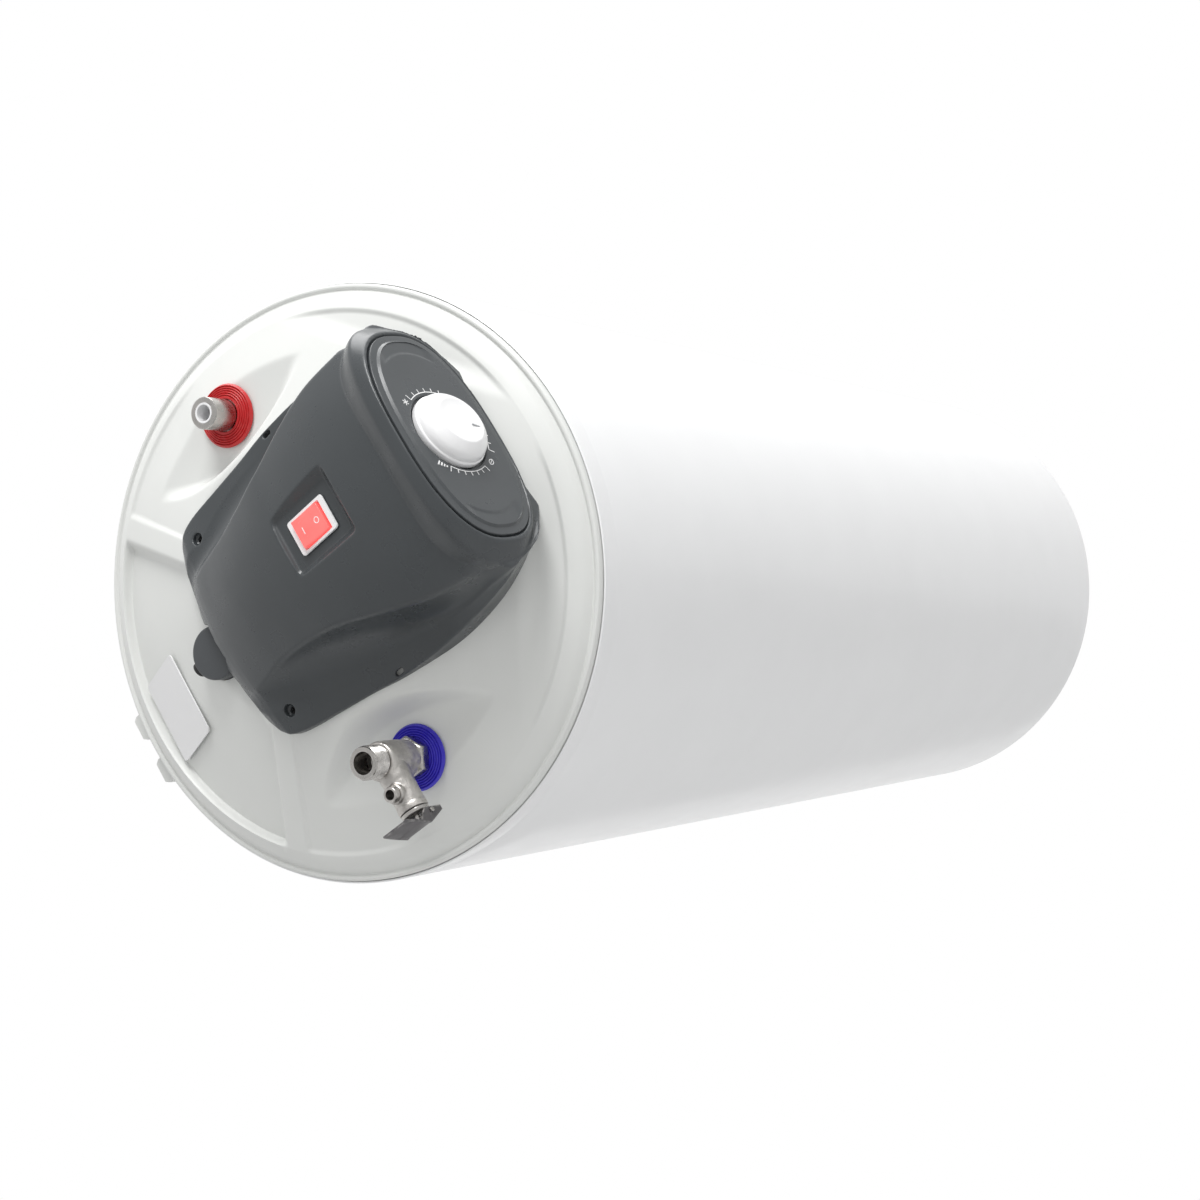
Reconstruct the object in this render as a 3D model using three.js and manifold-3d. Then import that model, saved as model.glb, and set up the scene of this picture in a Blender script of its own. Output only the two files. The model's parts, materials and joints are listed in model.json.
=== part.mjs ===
// A horizontal wall-hung tank water heater, in millimetres.
// +X runs along the tank away from the controls, -Y faces the room and +Z is up.
// The origin is on the wall, halfway along the casing and level with its axis.
import * as THREE from "three";
import { mergeVertices } from "three/addons/utils/BufferGeometryUtils.js";
import Module from "manifold-3d";

// ---- Driving dimensions ----
const CASING_RADIUS = 193.5;
const CASING_LENGTH = 984;
const CASING_WALL = 1.2;
const WALL_TO_AXIS = 204; // from the wall to the axis of the casing
const LID_WALL = 2.4;
const GAP = 0.4; // clearance between pieces that touch

const TANK_RADIUS = 165; // outside of the pressure vessel
const TANK_WALL = 2;
const TANK_START = 34; // apex of the control-end dome, behind the casing's rim
const TANK_END = 950;
const DOME_DEPTH = 46;

const PIPE_HEIGHT = 131.6; // hot and cold stubs, above and below the axis
const PIPE_RADIUS = 10.5;
const PIPE_BORE = 6.8;
const HOT_PIPE_PROUD = 49.5; // how far the hot stub stands out of the rim's plane
const COLD_PIPE_PROUD = 42;
const COLLAR_RADIUS = 21;
const COLLAR_SEAT = 25; // height of the pocket floor under the collars

const PLATEAU_HEIGHT = 47; // middle of the control-end lid
const CONE_TOP_RADIUS = 91;
const CONE_FOOT_RADIUS = 175.5;
const CONE_FOOT_HEIGHT = 12.5;
const SERVICE_HOLE_RADIUS = 68;

const DIAL_TILT = THREE.MathUtils.degToRad(10);
const DIAL_PROUD = 69.9; // centre of the dial, out of the rim's plane
const DIAL_FORWARD = 154.6; // centre of the dial, in front of the axis
const SWITCH_TILT = THREE.MathUtils.degToRad(3);
const SWITCH_PROUD = 95.4;
const SWITCH_FORWARD = 58.3;

const FLANGE_RADIUS = 60;
const BOLT_CIRCLE = 49;
const BOLT_COUNT = 6;

// ---- Solid tools ----
const wasm = await Module();
wasm.setup();

function positionsOnly(geometry) {
  const bare = geometry.clone();
  bare.deleteAttribute("normal");
  bare.deleteAttribute("uv");
  return mergeVertices(bare, 1e-4);
}

function toSolid(geometry) {
  const bare = positionsOnly(geometry);
  return new wasm.Manifold(
    new wasm.Mesh({
      numProp: 3,
      vertProperties: new Float32Array(bare.attributes.position.array),
      triVerts: new Uint32Array(bare.index.array),
    }),
  );
}

function toGeometry(solid) {
  const mesh = solid.getMesh();
  const geometry = new THREE.BufferGeometry();
  geometry.setAttribute("position", new THREE.BufferAttribute(mesh.vertProperties, 3));
  geometry.setIndex(new THREE.BufferAttribute(mesh.triVerts, 1));
  return geometry;
}

const join = (first, ...more) =>
  toGeometry(more.reduce((whole, piece) => whole.add(toSolid(piece)), toSolid(first)));
const cut = (first, ...more) =>
  toGeometry(more.reduce((whole, piece) => whole.subtract(toSolid(piece)), toSolid(first)));

// Turns the faces round if the closed surface points inwards.
function facingOut(geometry) {
  const bare = positionsOnly(geometry);
  const at = bare.attributes.position;
  const index = bare.index.array;
  const corner = [new THREE.Vector3(), new THREE.Vector3(), new THREE.Vector3()];
  let volume = 0;
  for (let i = 0; i < index.length; i += 3) {
    corner.forEach((c, k) => c.fromBufferAttribute(at, index[i + k]));
    volume += corner[0].dot(corner[1].clone().cross(corner[2]));
  }
  if (volume < 0) {
    for (let i = 0; i < index.length; i += 3) {
      [index[i + 1], index[i + 2]] = [index[i + 2], index[i + 1]];
    }
  }
  return bare;
}

// ---- Shape tools ----
// A shape turned about X: each profile point is [distance along X, radius].
function turned(profile, segments = 32) {
  const points = profile.map(([along, radius]) => new THREE.Vector2(radius, along));
  return facingOut(new THREE.LatheGeometry(points, segments).rotateZ(-Math.PI / 2));
}

// The same, turned about Z: each profile point is [distance along Z, radius].
const turnedZ = (profile, segments) => turned(profile, segments).rotateY(-Math.PI / 2);

const ringProfile = (from, to, outer, inner) => [
  [from, inner],
  [from, outer],
  [to, outer],
  [to, inner],
  [from, inner],
];
const rodProfile = (from, to, radius) => [
  [from, 0],
  [from, radius],
  [to, radius],
  [to, 0],
];

function box(x, y, z, width, depth, height) {
  return new THREE.BoxGeometry(width, depth, height).translate(x, y, z);
}

// A solid through rings of points, closed by a flat fan at each end.
function loft(rings) {
  const count = rings[0].length;
  const positions = rings.flat(2);
  const triangles = [];
  for (let ring = 0; ring + 1 < rings.length; ring += 1) {
    for (let k = 0; k < count; k += 1) {
      const a = ring * count + k;
      const b = ring * count + ((k + 1) % count);
      triangles.push(a, b, a + count, b, b + count, a + count);
    }
  }
  for (const [ring, flip] of [[0, true], [rings.length - 1, false]]) {
    const centre = positions.length / 3;
    const mean = [0, 1, 2].map((i) => rings[ring].reduce((sum, p) => sum + p[i], 0) / count);
    positions.push(...mean);
    for (let k = 0; k < count; k += 1) {
      const a = ring * count + k;
      const b = ring * count + ((k + 1) % count);
      triangles.push(centre, ...(flip ? [b, a] : [a, b]));
    }
  }
  const geometry = new THREE.BufferGeometry();
  geometry.setAttribute("position", new THREE.Float32BufferAttribute(positions, 3));
  geometry.setIndex(triangles);
  return facingOut(geometry);
}

// A round bar along a curve.
function bar(curve, radius, steps, sides = 8) {
  const section = new THREE.Shape().absarc(0, 0, radius, 0, 2 * Math.PI);
  const options = { steps, extrudePath: curve, curveSegments: sides, bevelEnabled: false };
  return facingOut(new THREE.ExtrudeGeometry(section, options));
}

const smooth = (from, to, value) => THREE.MathUtils.smoothstep(value, from, to);

// ---- Scene tools ----
const heater = new THREE.Group();
const finishes = {
  white_enamel: [0xf2f3f4, 0.35, 0.1],
  lid_plastic: [0xdfe1de, 0.5, 0],
  cover_plastic: [0x64676a, 0.45, 0],
  knob_plastic: [0xf7f7f7, 0.3, 0],
  red_lens: [0xff4a4a, 0.25, 0],
  red_collar: [0xc03030, 0.45, 0],
  blue_collar: [0x2c22b8, 0.45, 0],
  gland_plastic: [0x4f5254, 0.5, 0],
  label_film: [0xe9e9e9, 0.4, 0],
  nickel: [0xc9c6bf, 0.35, 0.9],
  lever_steel: [0x5d5b5d, 0.4, 0.9],
  zinc_steel: [0xb9bcc0, 0.4, 0.9],
  tank_enamel: [0x27405e, 0.3, 0.2],
  foam: [0xd9c48a, 0.95, 0],
  rubber: [0x1e1e1e, 0.9, 0],
  copper: [0xb06a43, 0.35, 0.9],
  magnesium: [0x9a9da0, 0.7, 0.6],
  bakelite: [0x25211f, 0.5, 0],
};

function add(parent, name, finish, geometry) {
  const [color, roughness, metalness] = finishes[finish];
  const material = new THREE.MeshStandardMaterial({ color, roughness, metalness });
  const mesh = new THREE.Mesh(geometry, material);
  mesh.name = name;
  parent.add(mesh);
  return mesh;
}

function groupAt(parent, x, y, z) {
  const group = new THREE.Group();
  group.position.set(x, y, z);
  parent.add(group);
  return group;
}

// In this group x = 0 is the plane of the control-end rim, and the casing's axis is y = z = 0.
const drum = groupAt(heater, -CASING_LENGTH / 2, -WALL_TO_AXIS, 0);

// ---- Outer casing ----
add(
  drum,
  "outer_casing",
  "white_enamel",
  turned(ringProfile(0, CASING_LENGTH, CASING_RADIUS, CASING_RADIUS - CASING_WALL), 48),
);

// ---- Cable gland boss ----
// A round boss in the lid, behind the control cover. The cable's bore runs through it along Y.
const GLAND_BACK = 80; // centre of the boss, behind the axis
const GLAND_RADIUS = 17.5;
const GLAND_TOP = 49.5;
const GLAND_BORE_PROUD = 43.4;
const GLAND_BORE = 3.4;
const glandBoss = (gap) =>
  turned(rodProfile(-GLAND_TOP - gap, -26 + gap, GLAND_RADIUS + gap), 28).translate(0, GLAND_BACK, 0);

// ---- Control-end lid ----
// Height of the lid's face before its pockets are pressed in.
function lidCone(radius) {
  const slope = (PLATEAU_HEIGHT - CONE_FOOT_HEIGHT) / (CONE_FOOT_RADIUS - CONE_TOP_RADIUS);
  return Math.min(PLATEAU_HEIGHT, CONE_FOOT_HEIGHT + slope * (CONE_FOOT_RADIUS - radius));
}

// Depth of the pressed pockets at a point: forward of the axis, and above it.
function lidPocket(forward, up) {
  const radius = Math.hypot(forward, up);
  const cone = lidCone(radius);
  const pocketEdge = 92.5 + 0.0054 * (forward + 10) ** 2;
  const inboard = PIPE_HEIGHT - Math.abs(up);
  const floor = COLLAR_SEAT - 1 + 0.15 * Math.sign(inboard) * Math.max(0, Math.abs(inboard) - 24);
  const pipePocket = smooth(0, 12, Math.abs(up) - pocketEdge) * Math.max(0, cone - floor);
  const rearEdge = -66 - 0.95 * Math.max(0, Math.abs(up) - 60);
  const rearPocket = 7 * smooth(0, 12, rearEdge - forward);
  const fade = 1 - smooth(CONE_FOOT_RADIUS - 3.5, CONE_FOOT_RADIUS, radius);
  return Math.max(pipePocket, rearPocket) * fade;
}

const lidFace = [
  [2, CASING_RADIUS - CASING_WALL - GAP],
  [-2, CASING_RADIUS - CASING_WALL - GAP],
  [-3.5, 189.5],
  [-3, 187],
  [-7, 183.7],
  [-CONE_FOOT_HEIGHT, CONE_FOOT_RADIUS],
];
for (const radius of [172, 162, 150, 136, 122, 108, 98, CONE_TOP_RADIUS]) {
  lidFace.push([-lidCone(radius), radius]);
}
lidFace.push([-PLATEAU_HEIGHT, SERVICE_HOLE_RADIUS]);

function pressPockets(geometry) {
  const at = geometry.attributes.position;
  for (let i = 0; i < at.count; i += 1) {
    at.setX(i, at.getX(i) + lidPocket(-at.getY(i), at.getZ(i)));
  }
  return geometry;
}

function controlEndLid() {
  const skirtEnd = [14, CASING_RADIUS - CASING_WALL - GAP];
  const backFace = lidFace.filter((_, k) => k !== 2 && k !== 3);
  const inner = backFace.map(([x, radius]) => [x + LID_WALL, radius - LID_WALL * 0.6]).reverse();
  inner[0] = [LID_WALL - PLATEAU_HEIGHT, SERVICE_HOLE_RADIUS];
  const skirtInner = [14, CASING_RADIUS - CASING_WALL - GAP - LID_WALL];
  const shell = turned([skirtEnd, ...lidFace, ...inner, skirtInner, skirtEnd], 48);
  const pipeHoles = [-1, 1].map((side) =>
    turned(rodProfile(-60, 20, PIPE_RADIUS + 2.4), 20).translate(0, 0, side * PIPE_HEIGHT),
  );
  return cut(pressPockets(shell), ...pipeHoles, glandBoss(GAP));
}
add(drum, "control_end_lid", "lid_plastic", controlEndLid());

// ---- Far-end lid ----
function farEndLid() {
  const outer = [
    [-14, CASING_RADIUS - CASING_WALL - GAP],
    [2, CASING_RADIUS - CASING_WALL - GAP],
    [3.5, 189.5],
    [7, 183.7],
    [22, 140],
    [29, 80],
    [31, 0],
  ];
  const inner = outer.map(([x, radius]) => [x - LID_WALL, Math.max(0, radius - LID_WALL * 0.6)]);
  inner[0] = [-14, CASING_RADIUS - CASING_WALL - GAP - LID_WALL];
  return turned([...outer, ...inner.reverse(), outer[0]], 40);
}
add(groupAt(drum, CASING_LENGTH, 0, 0), "far_end_lid", "lid_plastic", farEndLid());

// ---- Pressure vessel and insulation ----
// How far a dome's face lies behind its apex at a radius.
function domeSag(radius, rim = TANK_RADIUS, depth = DOME_DEPTH) {
  return depth * (1 - Math.sqrt(Math.max(0, 1 - (radius / rim) ** 2)));
}
const domeRadii = [62, 110, 140, 158, TANK_RADIUS];

function tankDome(holeRadius) {
  const radii = domeRadii.map((radius) => (radius === domeRadii[0] ? holeRadius : radius));
  const outer = radii.map((radius) => [domeSag(radius), radius]);
  const innerRim = TANK_RADIUS - TANK_WALL;
  const inner = radii
    .map((radius) => Math.min(radius, innerRim))
    .map((radius) => [TANK_WALL + domeSag(radius, innerRim), radius]);
  return turned([...outer, ...inner.reverse(), outer[0]], 24);
}

const pipeClearance = (from, to) =>
  [-1, 1].map((side) =>
    turned(rodProfile(from, to, PIPE_RADIUS + GAP), 20).translate(0, 0, side * PIPE_HEIGHT),
  );

const barrelStart = TANK_START + DOME_DEPTH + TANK_WALL + GAP;
const barrelEnd = TANK_END - DOME_DEPTH - TANK_WALL - GAP;
add(
  groupAt(drum, TANK_START, 0, 0),
  "tank_dome_control_end",
  "tank_enamel",
  cut(tankDome(FLANGE_RADIUS - 4), ...pipeClearance(-20, 60)),
);
add(
  drum,
  "tank_barrel",
  "tank_enamel",
  turned(ringProfile(barrelStart, barrelEnd, TANK_RADIUS, TANK_RADIUS - TANK_WALL), 24),
);
const farDome = add(
  groupAt(drum, TANK_END, 0, 0),
  "tank_dome_far_end",
  "tank_enamel",
  tankDome(0),
);
farDome.rotation.y = Math.PI;

function foamJacket() {
  const outside = CASING_RADIUS - CASING_WALL - LID_WALL - 2 * GAP;
  const bore = TANK_RADIUS + GAP;
  const nearFace = 16;
  const farFace = CASING_LENGTH - 16;
  const neck = FLANGE_RADIUS + 8;
  const nearDome = [neck, 110, 140, 158].map((radius) => [
    TANK_START - 2 + domeSag(radius, bore, DOME_DEPTH),
    radius,
  ]);
  const farDomeFace = [158, 140, 110, 60, 0].map((radius) => [
    TANK_END + 2 - domeSag(radius, bore, DOME_DEPTH),
    radius,
  ]);
  const wallAt = [
    [TANK_START + DOME_DEPTH - 1, bore],
    [TANK_END - DOME_DEPTH + 1, bore],
  ];
  const end = [
    [farFace, 0],
    [farFace, outside],
    [nearFace, outside],
    [nearFace, neck],
  ];
  const jacket = turned([...farDomeFace.toReversed(), ...wallAt.toReversed(), ...nearDome.toReversed(),
    ...end.toReversed()], 24);
  return cut(jacket, ...pipeClearance(0, 120));
}
add(drum, "foam_insulation", "foam", foamJacket());

// ---- Service flange with the parts that hang from it ----
const flange = groupAt(drum, TANK_START, 0, 0);
const boltAngles = Array.from({ length: BOLT_COUNT }, (_, k) => (2 * Math.PI * (k + 0.5)) / BOLT_COUNT);
const boltPlaces = boltAngles.map((angle) => [
  BOLT_CIRCLE * Math.cos(angle),
  BOLT_CIRCLE * Math.sin(angle),
]);
const boltHoles = (from, to) =>
  boltPlaces.map(([y, z]) => turned(rodProfile(from, to, 3.9), 6).translate(0, y, z));
const ELEMENT_LEG = 17; // half the distance between the element's legs
const ELEMENT_DROP = -22;
const WELL_UP = 20;
const ANODE_UP = 2;

add(
  flange,
  "flange_neck",
  "tank_enamel",
  cut(turned(ringProfile(-10, 3, FLANGE_RADIUS - 4 - GAP, 38), 24), ...boltHoles(-11, 4)),
);
add(
  flange,
  "flange_gasket",
  "rubber",
  cut(turned(ringProfile(-13, -10 - GAP, FLANGE_RADIUS - 5, 38), 24), ...boltHoles(-14, -9)),
);

function flangePlate() {
  const plate = turned(rodProfile(-18, -13 - GAP, FLANGE_RADIUS - 4), 24);
  const throughHoles = [
    [-ELEMENT_LEG, ELEMENT_DROP, 4.3],
    [ELEMENT_LEG, ELEMENT_DROP, 4.3],
    [0, WELL_UP, 5.4],
    [0, ANODE_UP, 3.4],
  ].map(([y, z, radius]) => turned(rodProfile(-20, -10, radius), 16).translate(0, y, z));
  return cut(plate, ...boltHoles(-20, -10), ...throughHoles);
}
add(flange, "flange_plate", "zinc_steel", flangePlate());

boltPlaces.forEach(([y, z], k) => {
  const shank = turned(rodProfile(-24, 1, 3), 10);
  const nut = turned(rodProfile(-23.5, -18 - GAP, 6.2), 6);
  const bolt = add(flange, `flange_bolt_${k + 1}`, "zinc_steel", join(nut, shank));
  bolt.position.set(0, y, z);
});

function elementCurve() {
  const turn = new THREE.CatmullRomCurve3(
    [
      [-26, ELEMENT_LEG, ELEMENT_DROP],
      [60, ELEMENT_LEG, ELEMENT_DROP],
      [200, ELEMENT_LEG, ELEMENT_DROP - 14],
      [350, ELEMENT_LEG, ELEMENT_DROP - 28],
      [372, 0, ELEMENT_DROP - 30],
      [350, -ELEMENT_LEG, ELEMENT_DROP - 28],
      [200, -ELEMENT_LEG, ELEMENT_DROP - 14],
      [60, -ELEMENT_LEG, ELEMENT_DROP],
      [-26, -ELEMENT_LEG, ELEMENT_DROP],
    ].map((p) => new THREE.Vector3(...p)),
    false,
    "centripetal",
  );
  return turn;
}
add(flange, "heating_element", "copper", bar(elementCurve(), 3.9, 26, 3));

const wellProfile = [
  [-22, 3.6],
  [-22, 5],
  [262, 5],
  [262, 0],
  [260, 0],
  [260, 3.6],
  [-22, 3.6],
];
add(flange, "thermostat_well", "copper", turned(wellProfile, 14)).position.z = WELL_UP;
add(flange, "thermostat_probe", "copper", turned(rodProfile(-26, 230, 3), 10)).position.z = WELL_UP;

const anodeBar = turned(rodProfile(-8, 240, 9), 16);
const anodeStud = turned(rodProfile(-24, -7, 3), 10);
const anode = add(flange, "magnesium_anode", "magnesium", join(anodeBar, anodeStud));
anode.position.z = ANODE_UP;
const anodeNut = cut(turned(rodProfile(-23, -18 - GAP, 6), 6), turned(rodProfile(-25, -10, 3 + GAP), 10));
add(flange, "anode_nut", "zinc_steel", anodeNut).position.z = ANODE_UP;

// ---- Hot and cold stubs ----
const hotStub = groupAt(drum, 0, 0, PIPE_HEIGHT);
const stubEnd = TANK_START + domeSag(PIPE_HEIGHT) + 30;
function pipeTube(from, to, boreTo = to) {
  const tube = turned(rodProfile(from, to, PIPE_RADIUS), 24);
  return cut(tube, turned(rodProfile(from - 1, boreTo + 1, PIPE_BORE), 24));
}
add(hotStub, "hot_outlet_pipe", "nickel", pipeTube(-HOT_PIPE_PROUD, stubEnd));

const coldStub = groupAt(drum, 0, 0, -PIPE_HEIGHT);
const DIFFUSER_LENGTH = 46;
add(coldStub, "cold_inlet_pipe", "nickel", pipeTube(-COLD_PIPE_PROUD, stubEnd));
function diffuser() {
  const cap = cut(
    turned(rodProfile(0, DIFFUSER_LENGTH, PIPE_BORE - GAP), 20),
    turned(rodProfile(-1, DIFFUSER_LENGTH - 3, PIPE_BORE - 2), 16),
  );
  const slots = [30, 36].map((x) => box(x, 0, 5, 3, 14, 6));
  return cut(cap, ...slots);
}
add(coldStub, "inlet_diffuser", "gland_plastic", diffuser()).position.x = stubEnd - 20;

// A moulded collar: a stepped cone that closes the gap between a stub and the lid.
function collar() {
  const profile = [
    [4, PIPE_RADIUS + GAP],
    [4, PIPE_RADIUS + 1.8],
    [-COLLAR_SEAT, PIPE_RADIUS + 1.8],
    [-COLLAR_SEAT, COLLAR_RADIUS],
  ];
  const steps = 3;
  const stepRun = 2.4;
  for (let k = 0; k < steps; k += 1) {
    const radius = COLLAR_RADIUS - k * stepRun;
    const proud = COLLAR_SEAT + 1.6 + k * 0.8;
    profile.push([-proud, radius], [-proud, radius - stepRun + 0.4]);
  }
  profile.push([-COLLAR_SEAT - 4, PIPE_RADIUS + 2.2], [-COLLAR_SEAT - 4, PIPE_RADIUS + GAP]);
  profile.push(profile[0]);
  return turned(profile, 24);
}
add(hotStub, "hot_pipe_collar", "red_collar", collar());
add(coldStub, "cold_pipe_collar", "blue_collar", collar());

// ---- Safety valve on the cold stub ----
// Its barrel runs along -X, and its relief branch points down.
const VALVE_FOOT = 29.5; // the inlet face, out of the rim's plane
const VALVE_LENGTH = 52.5;
const VALVE_RADIUS = 12.4;
const VALVE_BORE = 7;
const BRANCH_AT = 27.9; // from the barrel's inlet face to the branch
const BRANCH_REACH = 35.4;
const BRANCH_RADIUS = 9.6;
const BRANCH_BORE = 6.4;
const NIPPLE_DROP = 23;
const NIPPLE_REACH = 15.5;
const NIPPLE_BORE = 3.2;
const TAIL_LENGTH = 14.6; // the male end that the supply screws onto
const valve = groupAt(coldStub, -VALVE_FOOT, 0, 0);

function safetyValveBody() {
  const hexagon = turned(rodProfile(-9, 0, 14), 6);
  const barrel = turned(rodProfile(-VALVE_LENGTH + TAIL_LENGTH, -6, VALVE_RADIUS), 28);
  const branch = turnedZ(rodProfile(-BRANCH_REACH, 0, BRANCH_RADIUS), 24).translate(-BRANCH_AT, 0, 0);
  const waterway = turned(
    [
      [-VALVE_LENGTH, 0],
      [-VALVE_LENGTH, VALVE_BORE],
      [-VALVE_LENGTH + 17, VALVE_BORE],
      [-VALVE_LENGTH + 17.5, 5],
      [-VALVE_LENGTH + 20, 5],
      [-VALVE_LENGTH + 20.5, VALVE_BORE + 2],
      [-13.5, VALVE_BORE + 2],
      [-13, PIPE_RADIUS + GAP],
      [1, PIPE_RADIUS + GAP],
      [1, 0],
    ],
    24,
  );
  const reliefBore = turnedZ(
    [
      [-BRANCH_REACH - 1, 0],
      [-BRANCH_REACH - 1, BRANCH_BORE],
      [-14, BRANCH_BORE],
      [-13.5, 2.6],
      [-6, 2.6],
      [-6, 0],
    ],
    20,
  ).translate(-BRANCH_AT, 0, 0);
  const drain = turned(rodProfile(-NIPPLE_REACH, 0, NIPPLE_BORE), 14).translate(-BRANCH_AT, 0, -NIPPLE_DROP);
  return cut(join(hexagon, barrel, branch), waterway, reliefBore, drain);
}
add(valve, "safety_valve_body", "nickel", safetyValveBody());

// The male end and the drain nipple stand on the body as tubes of their own.
const tail = ringProfile(-VALVE_LENGTH, -VALVE_LENGTH + TAIL_LENGTH - GAP, PIPE_RADIUS, VALVE_BORE);
add(valve, "valve_inlet_tail", "nickel", turned(tail, 24));
const nippleRoot = -BRANCH_RADIUS - GAP;
const nippleProfile = [
  [-NIPPLE_REACH, NIPPLE_BORE],
  [-NIPPLE_REACH, 4.9],
  [-NIPPLE_REACH + 2.5, 5.4],
  [-NIPPLE_REACH + 5, 4.6],
  [nippleRoot, 4.6],
  [nippleRoot, NIPPLE_BORE],
  [-NIPPLE_REACH, NIPPLE_BORE],
];
const nipple = add(valve, "drain_nipple", "nickel", turned(nippleProfile, 16));
nipple.position.set(-BRANCH_AT, 0, -NIPPLE_DROP);

// Non-return poppet: it rests on its seat and opens towards the tank.
const seat = -VALVE_LENGTH + 20.5;
const poppet = turned(
  [
    [seat - 4, 0],
    [seat - 4, 3.4],
    [seat + 0.4, 3.4],
    [seat + 0.4, 6.6],
    [seat + 3, 6.6],
    [seat + 3, 2],
    [seat + 12, 2],
    [seat + 12, 0],
  ],
  16,
);
add(valve, "check_poppet", "bakelite", poppet);

function helix(radius, from, to, turns) {
  class Helix extends THREE.Curve {
    getPoint(t, target = new THREE.Vector3()) {
      const angle = 2 * Math.PI * turns * t;
      return target.set(from + (to - from) * t, radius * Math.cos(angle), radius * Math.sin(angle));
    }
  }
  return new Helix();
}
add(valve, "check_spring", "zinc_steel", bar(helix(4.6, seat + 4, -14, 3), 0.6, 30, 2));

// Relief stem, its spring and the cap that holds them in the branch.
const relief = groupAt(valve, -BRANCH_AT, 0, 0);
const CAP_TOP = -BRANCH_REACH - 3.4;
const stem = turnedZ(
  [
    [CAP_TOP - 4.4, 0],
    [CAP_TOP - 4.4, 1.7],
    [-18.6, 1.7],
    [-18.6, 5.2],
    [-14.4, 5.2],
    [-14.4, 0],
  ],
  16,
);
const stemEye = turned(rodProfile(-4, 4, 1.1), 10).rotateZ(Math.PI / 2);
add(relief, "relief_stem", "lever_steel", cut(stem, stemEye.translate(0, 0, CAP_TOP - 2.4)));
const reliefSpring = bar(helix(4.2, -31.6, -19.6, 4), 0.6, 40, 2).rotateY(-Math.PI / 2);
add(relief, "relief_spring", "zinc_steel", reliefSpring);

function reliefCap() {
  const head = turnedZ(rodProfile(CAP_TOP, -BRANCH_REACH - GAP, 9), 24);
  const plug = turnedZ(rodProfile(-BRANCH_REACH - 1, -32.6, BRANCH_BORE - GAP), 20);
  const stemHole = turnedZ(rodProfile(CAP_TOP - 1, -31, 2.1), 14);
  return cut(join(head, plug), stemHole);
}
add(relief, "relief_cap", "nickel", reliefCap());

// The lever is a folded steel strip. It turns on the pin through the stem's eye.
const LEVER_PIVOT = CAP_TOP - 2.4;
const LEVER_HALF_WIDTH = 10.8;
const LEVER_SHEET = 1.2;
const LEVER_HEEL = [11.4, -0.6];
const LEVER_CORNER = [-5.5, -7.9];
const LEVER_TIP = [-28.4, -4.6];
function reliefLever() {
  const cheek = new THREE.Shape();
  cheek.moveTo(11.4, 2.4);
  cheek.lineTo(...LEVER_HEEL);
  cheek.lineTo(...LEVER_CORNER);
  cheek.lineTo(-14, -6.7);
  cheek.lineTo(-14, -5);
  cheek.lineTo(-5, 2.4);
  cheek.closePath();
  const options = { depth: LEVER_SHEET, bevelEnabled: false };
  const cheeks = [-LEVER_HALF_WIDTH, LEVER_HALF_WIDTH - LEVER_SHEET].map((side) =>
    facingOut(
      new THREE.ExtrudeGeometry(cheek, options).rotateX(Math.PI / 2).translate(0, side + LEVER_SHEET, 0),
    ),
  );
  const strip = new THREE.Shape();
  strip.moveTo(...LEVER_HEEL);
  strip.lineTo(...LEVER_CORNER);
  strip.lineTo(...LEVER_TIP);
  strip.lineTo(LEVER_TIP[0], LEVER_TIP[1] + LEVER_SHEET);
  strip.lineTo(LEVER_CORNER[0] + 0.4, LEVER_CORNER[1] + LEVER_SHEET + 0.2);
  strip.lineTo(LEVER_HEEL[0], LEVER_HEEL[1] + LEVER_SHEET + 0.2);
  strip.closePath();
  const width = { depth: 2 * LEVER_HALF_WIDTH, bevelEnabled: false };
  const floor = new THREE.ExtrudeGeometry(strip, width).rotateX(Math.PI / 2).translate(0, LEVER_HALF_WIDTH, 0);
  const pinHole = turned(rodProfile(-12, 12, 1.25), 12).rotateZ(Math.PI / 2);
  return cut(join(facingOut(floor), cheeks[0], cheeks[1]), pinHole);
}
const lever = add(relief, "relief_lever", "lever_steel", reliefLever());
lever.position.z = LEVER_PIVOT;
const pin = turned(rodProfile(-12, 12, 0.85), 10).rotateZ(Math.PI / 2);
add(relief, "lever_pin", "zinc_steel", pin).position.z = LEVER_PIVOT;

// ---- Control cover ----
// Each station is a section across the cover: its distance in front of the axis, the height of
// its crest, then half-width and height of its ridge, of the foot of its scoop, and of its edge.
const COVER_STATIONS = [
  { forward: -76, crest: 53, ridge: [8, 52], foot: [9.5, 50], edge: [11, 48.5] },
  { forward: -68, crest: 60, ridge: [37, 55], foot: [52, 52], edge: [60, 49] },
  { forward: -58, crest: 66, ridge: [43, 60], foot: [61, 55], edge: [76, 51] },
  { forward: -46, crest: 72, ridge: [44, 65], foot: [62, 55.5], edge: [80.5, 51.5] },
  { forward: -23, crest: 82, ridge: [44.5, 74], foot: [72, 53], edge: [84.5, 50.5] },
  { forward: 5, crest: 91, ridge: [48.5, 82.5], foot: [79, 52], edge: [88.5, 50] },
  { forward: 34, crest: 97.5, ridge: [56, 88], foot: [82, 51.5], edge: [93, 50] },
  { forward: 63, crest: 102.5, ridge: [67, 88.5], foot: [84, 52], edge: [94.5, 50] },
  { forward: 100, crest: 105.5, ridge: [79, 86], foot: [87, 57], edge: [92, 51] },
  { forward: 126, crest: 105, ridge: [82, 83], foot: [88.5, 64], edge: [90, 56] },
];
const FRONT_RING = [
  [139.4, 103.5, 0],
  [139.4, 102, 28],
  [139.2, 97, 48],
  [139.6, 88, 72],
  [142, 75, 85],
  [143.8, 64.5, 89],
  [147, 56, 85],
  [155, 46, 73],
  [155, 15, 50],
];
const COVER_BASE = 15; // the cover is drawn down to here, then cut to the lid's face
const COVER_WALL = 2.6;
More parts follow.
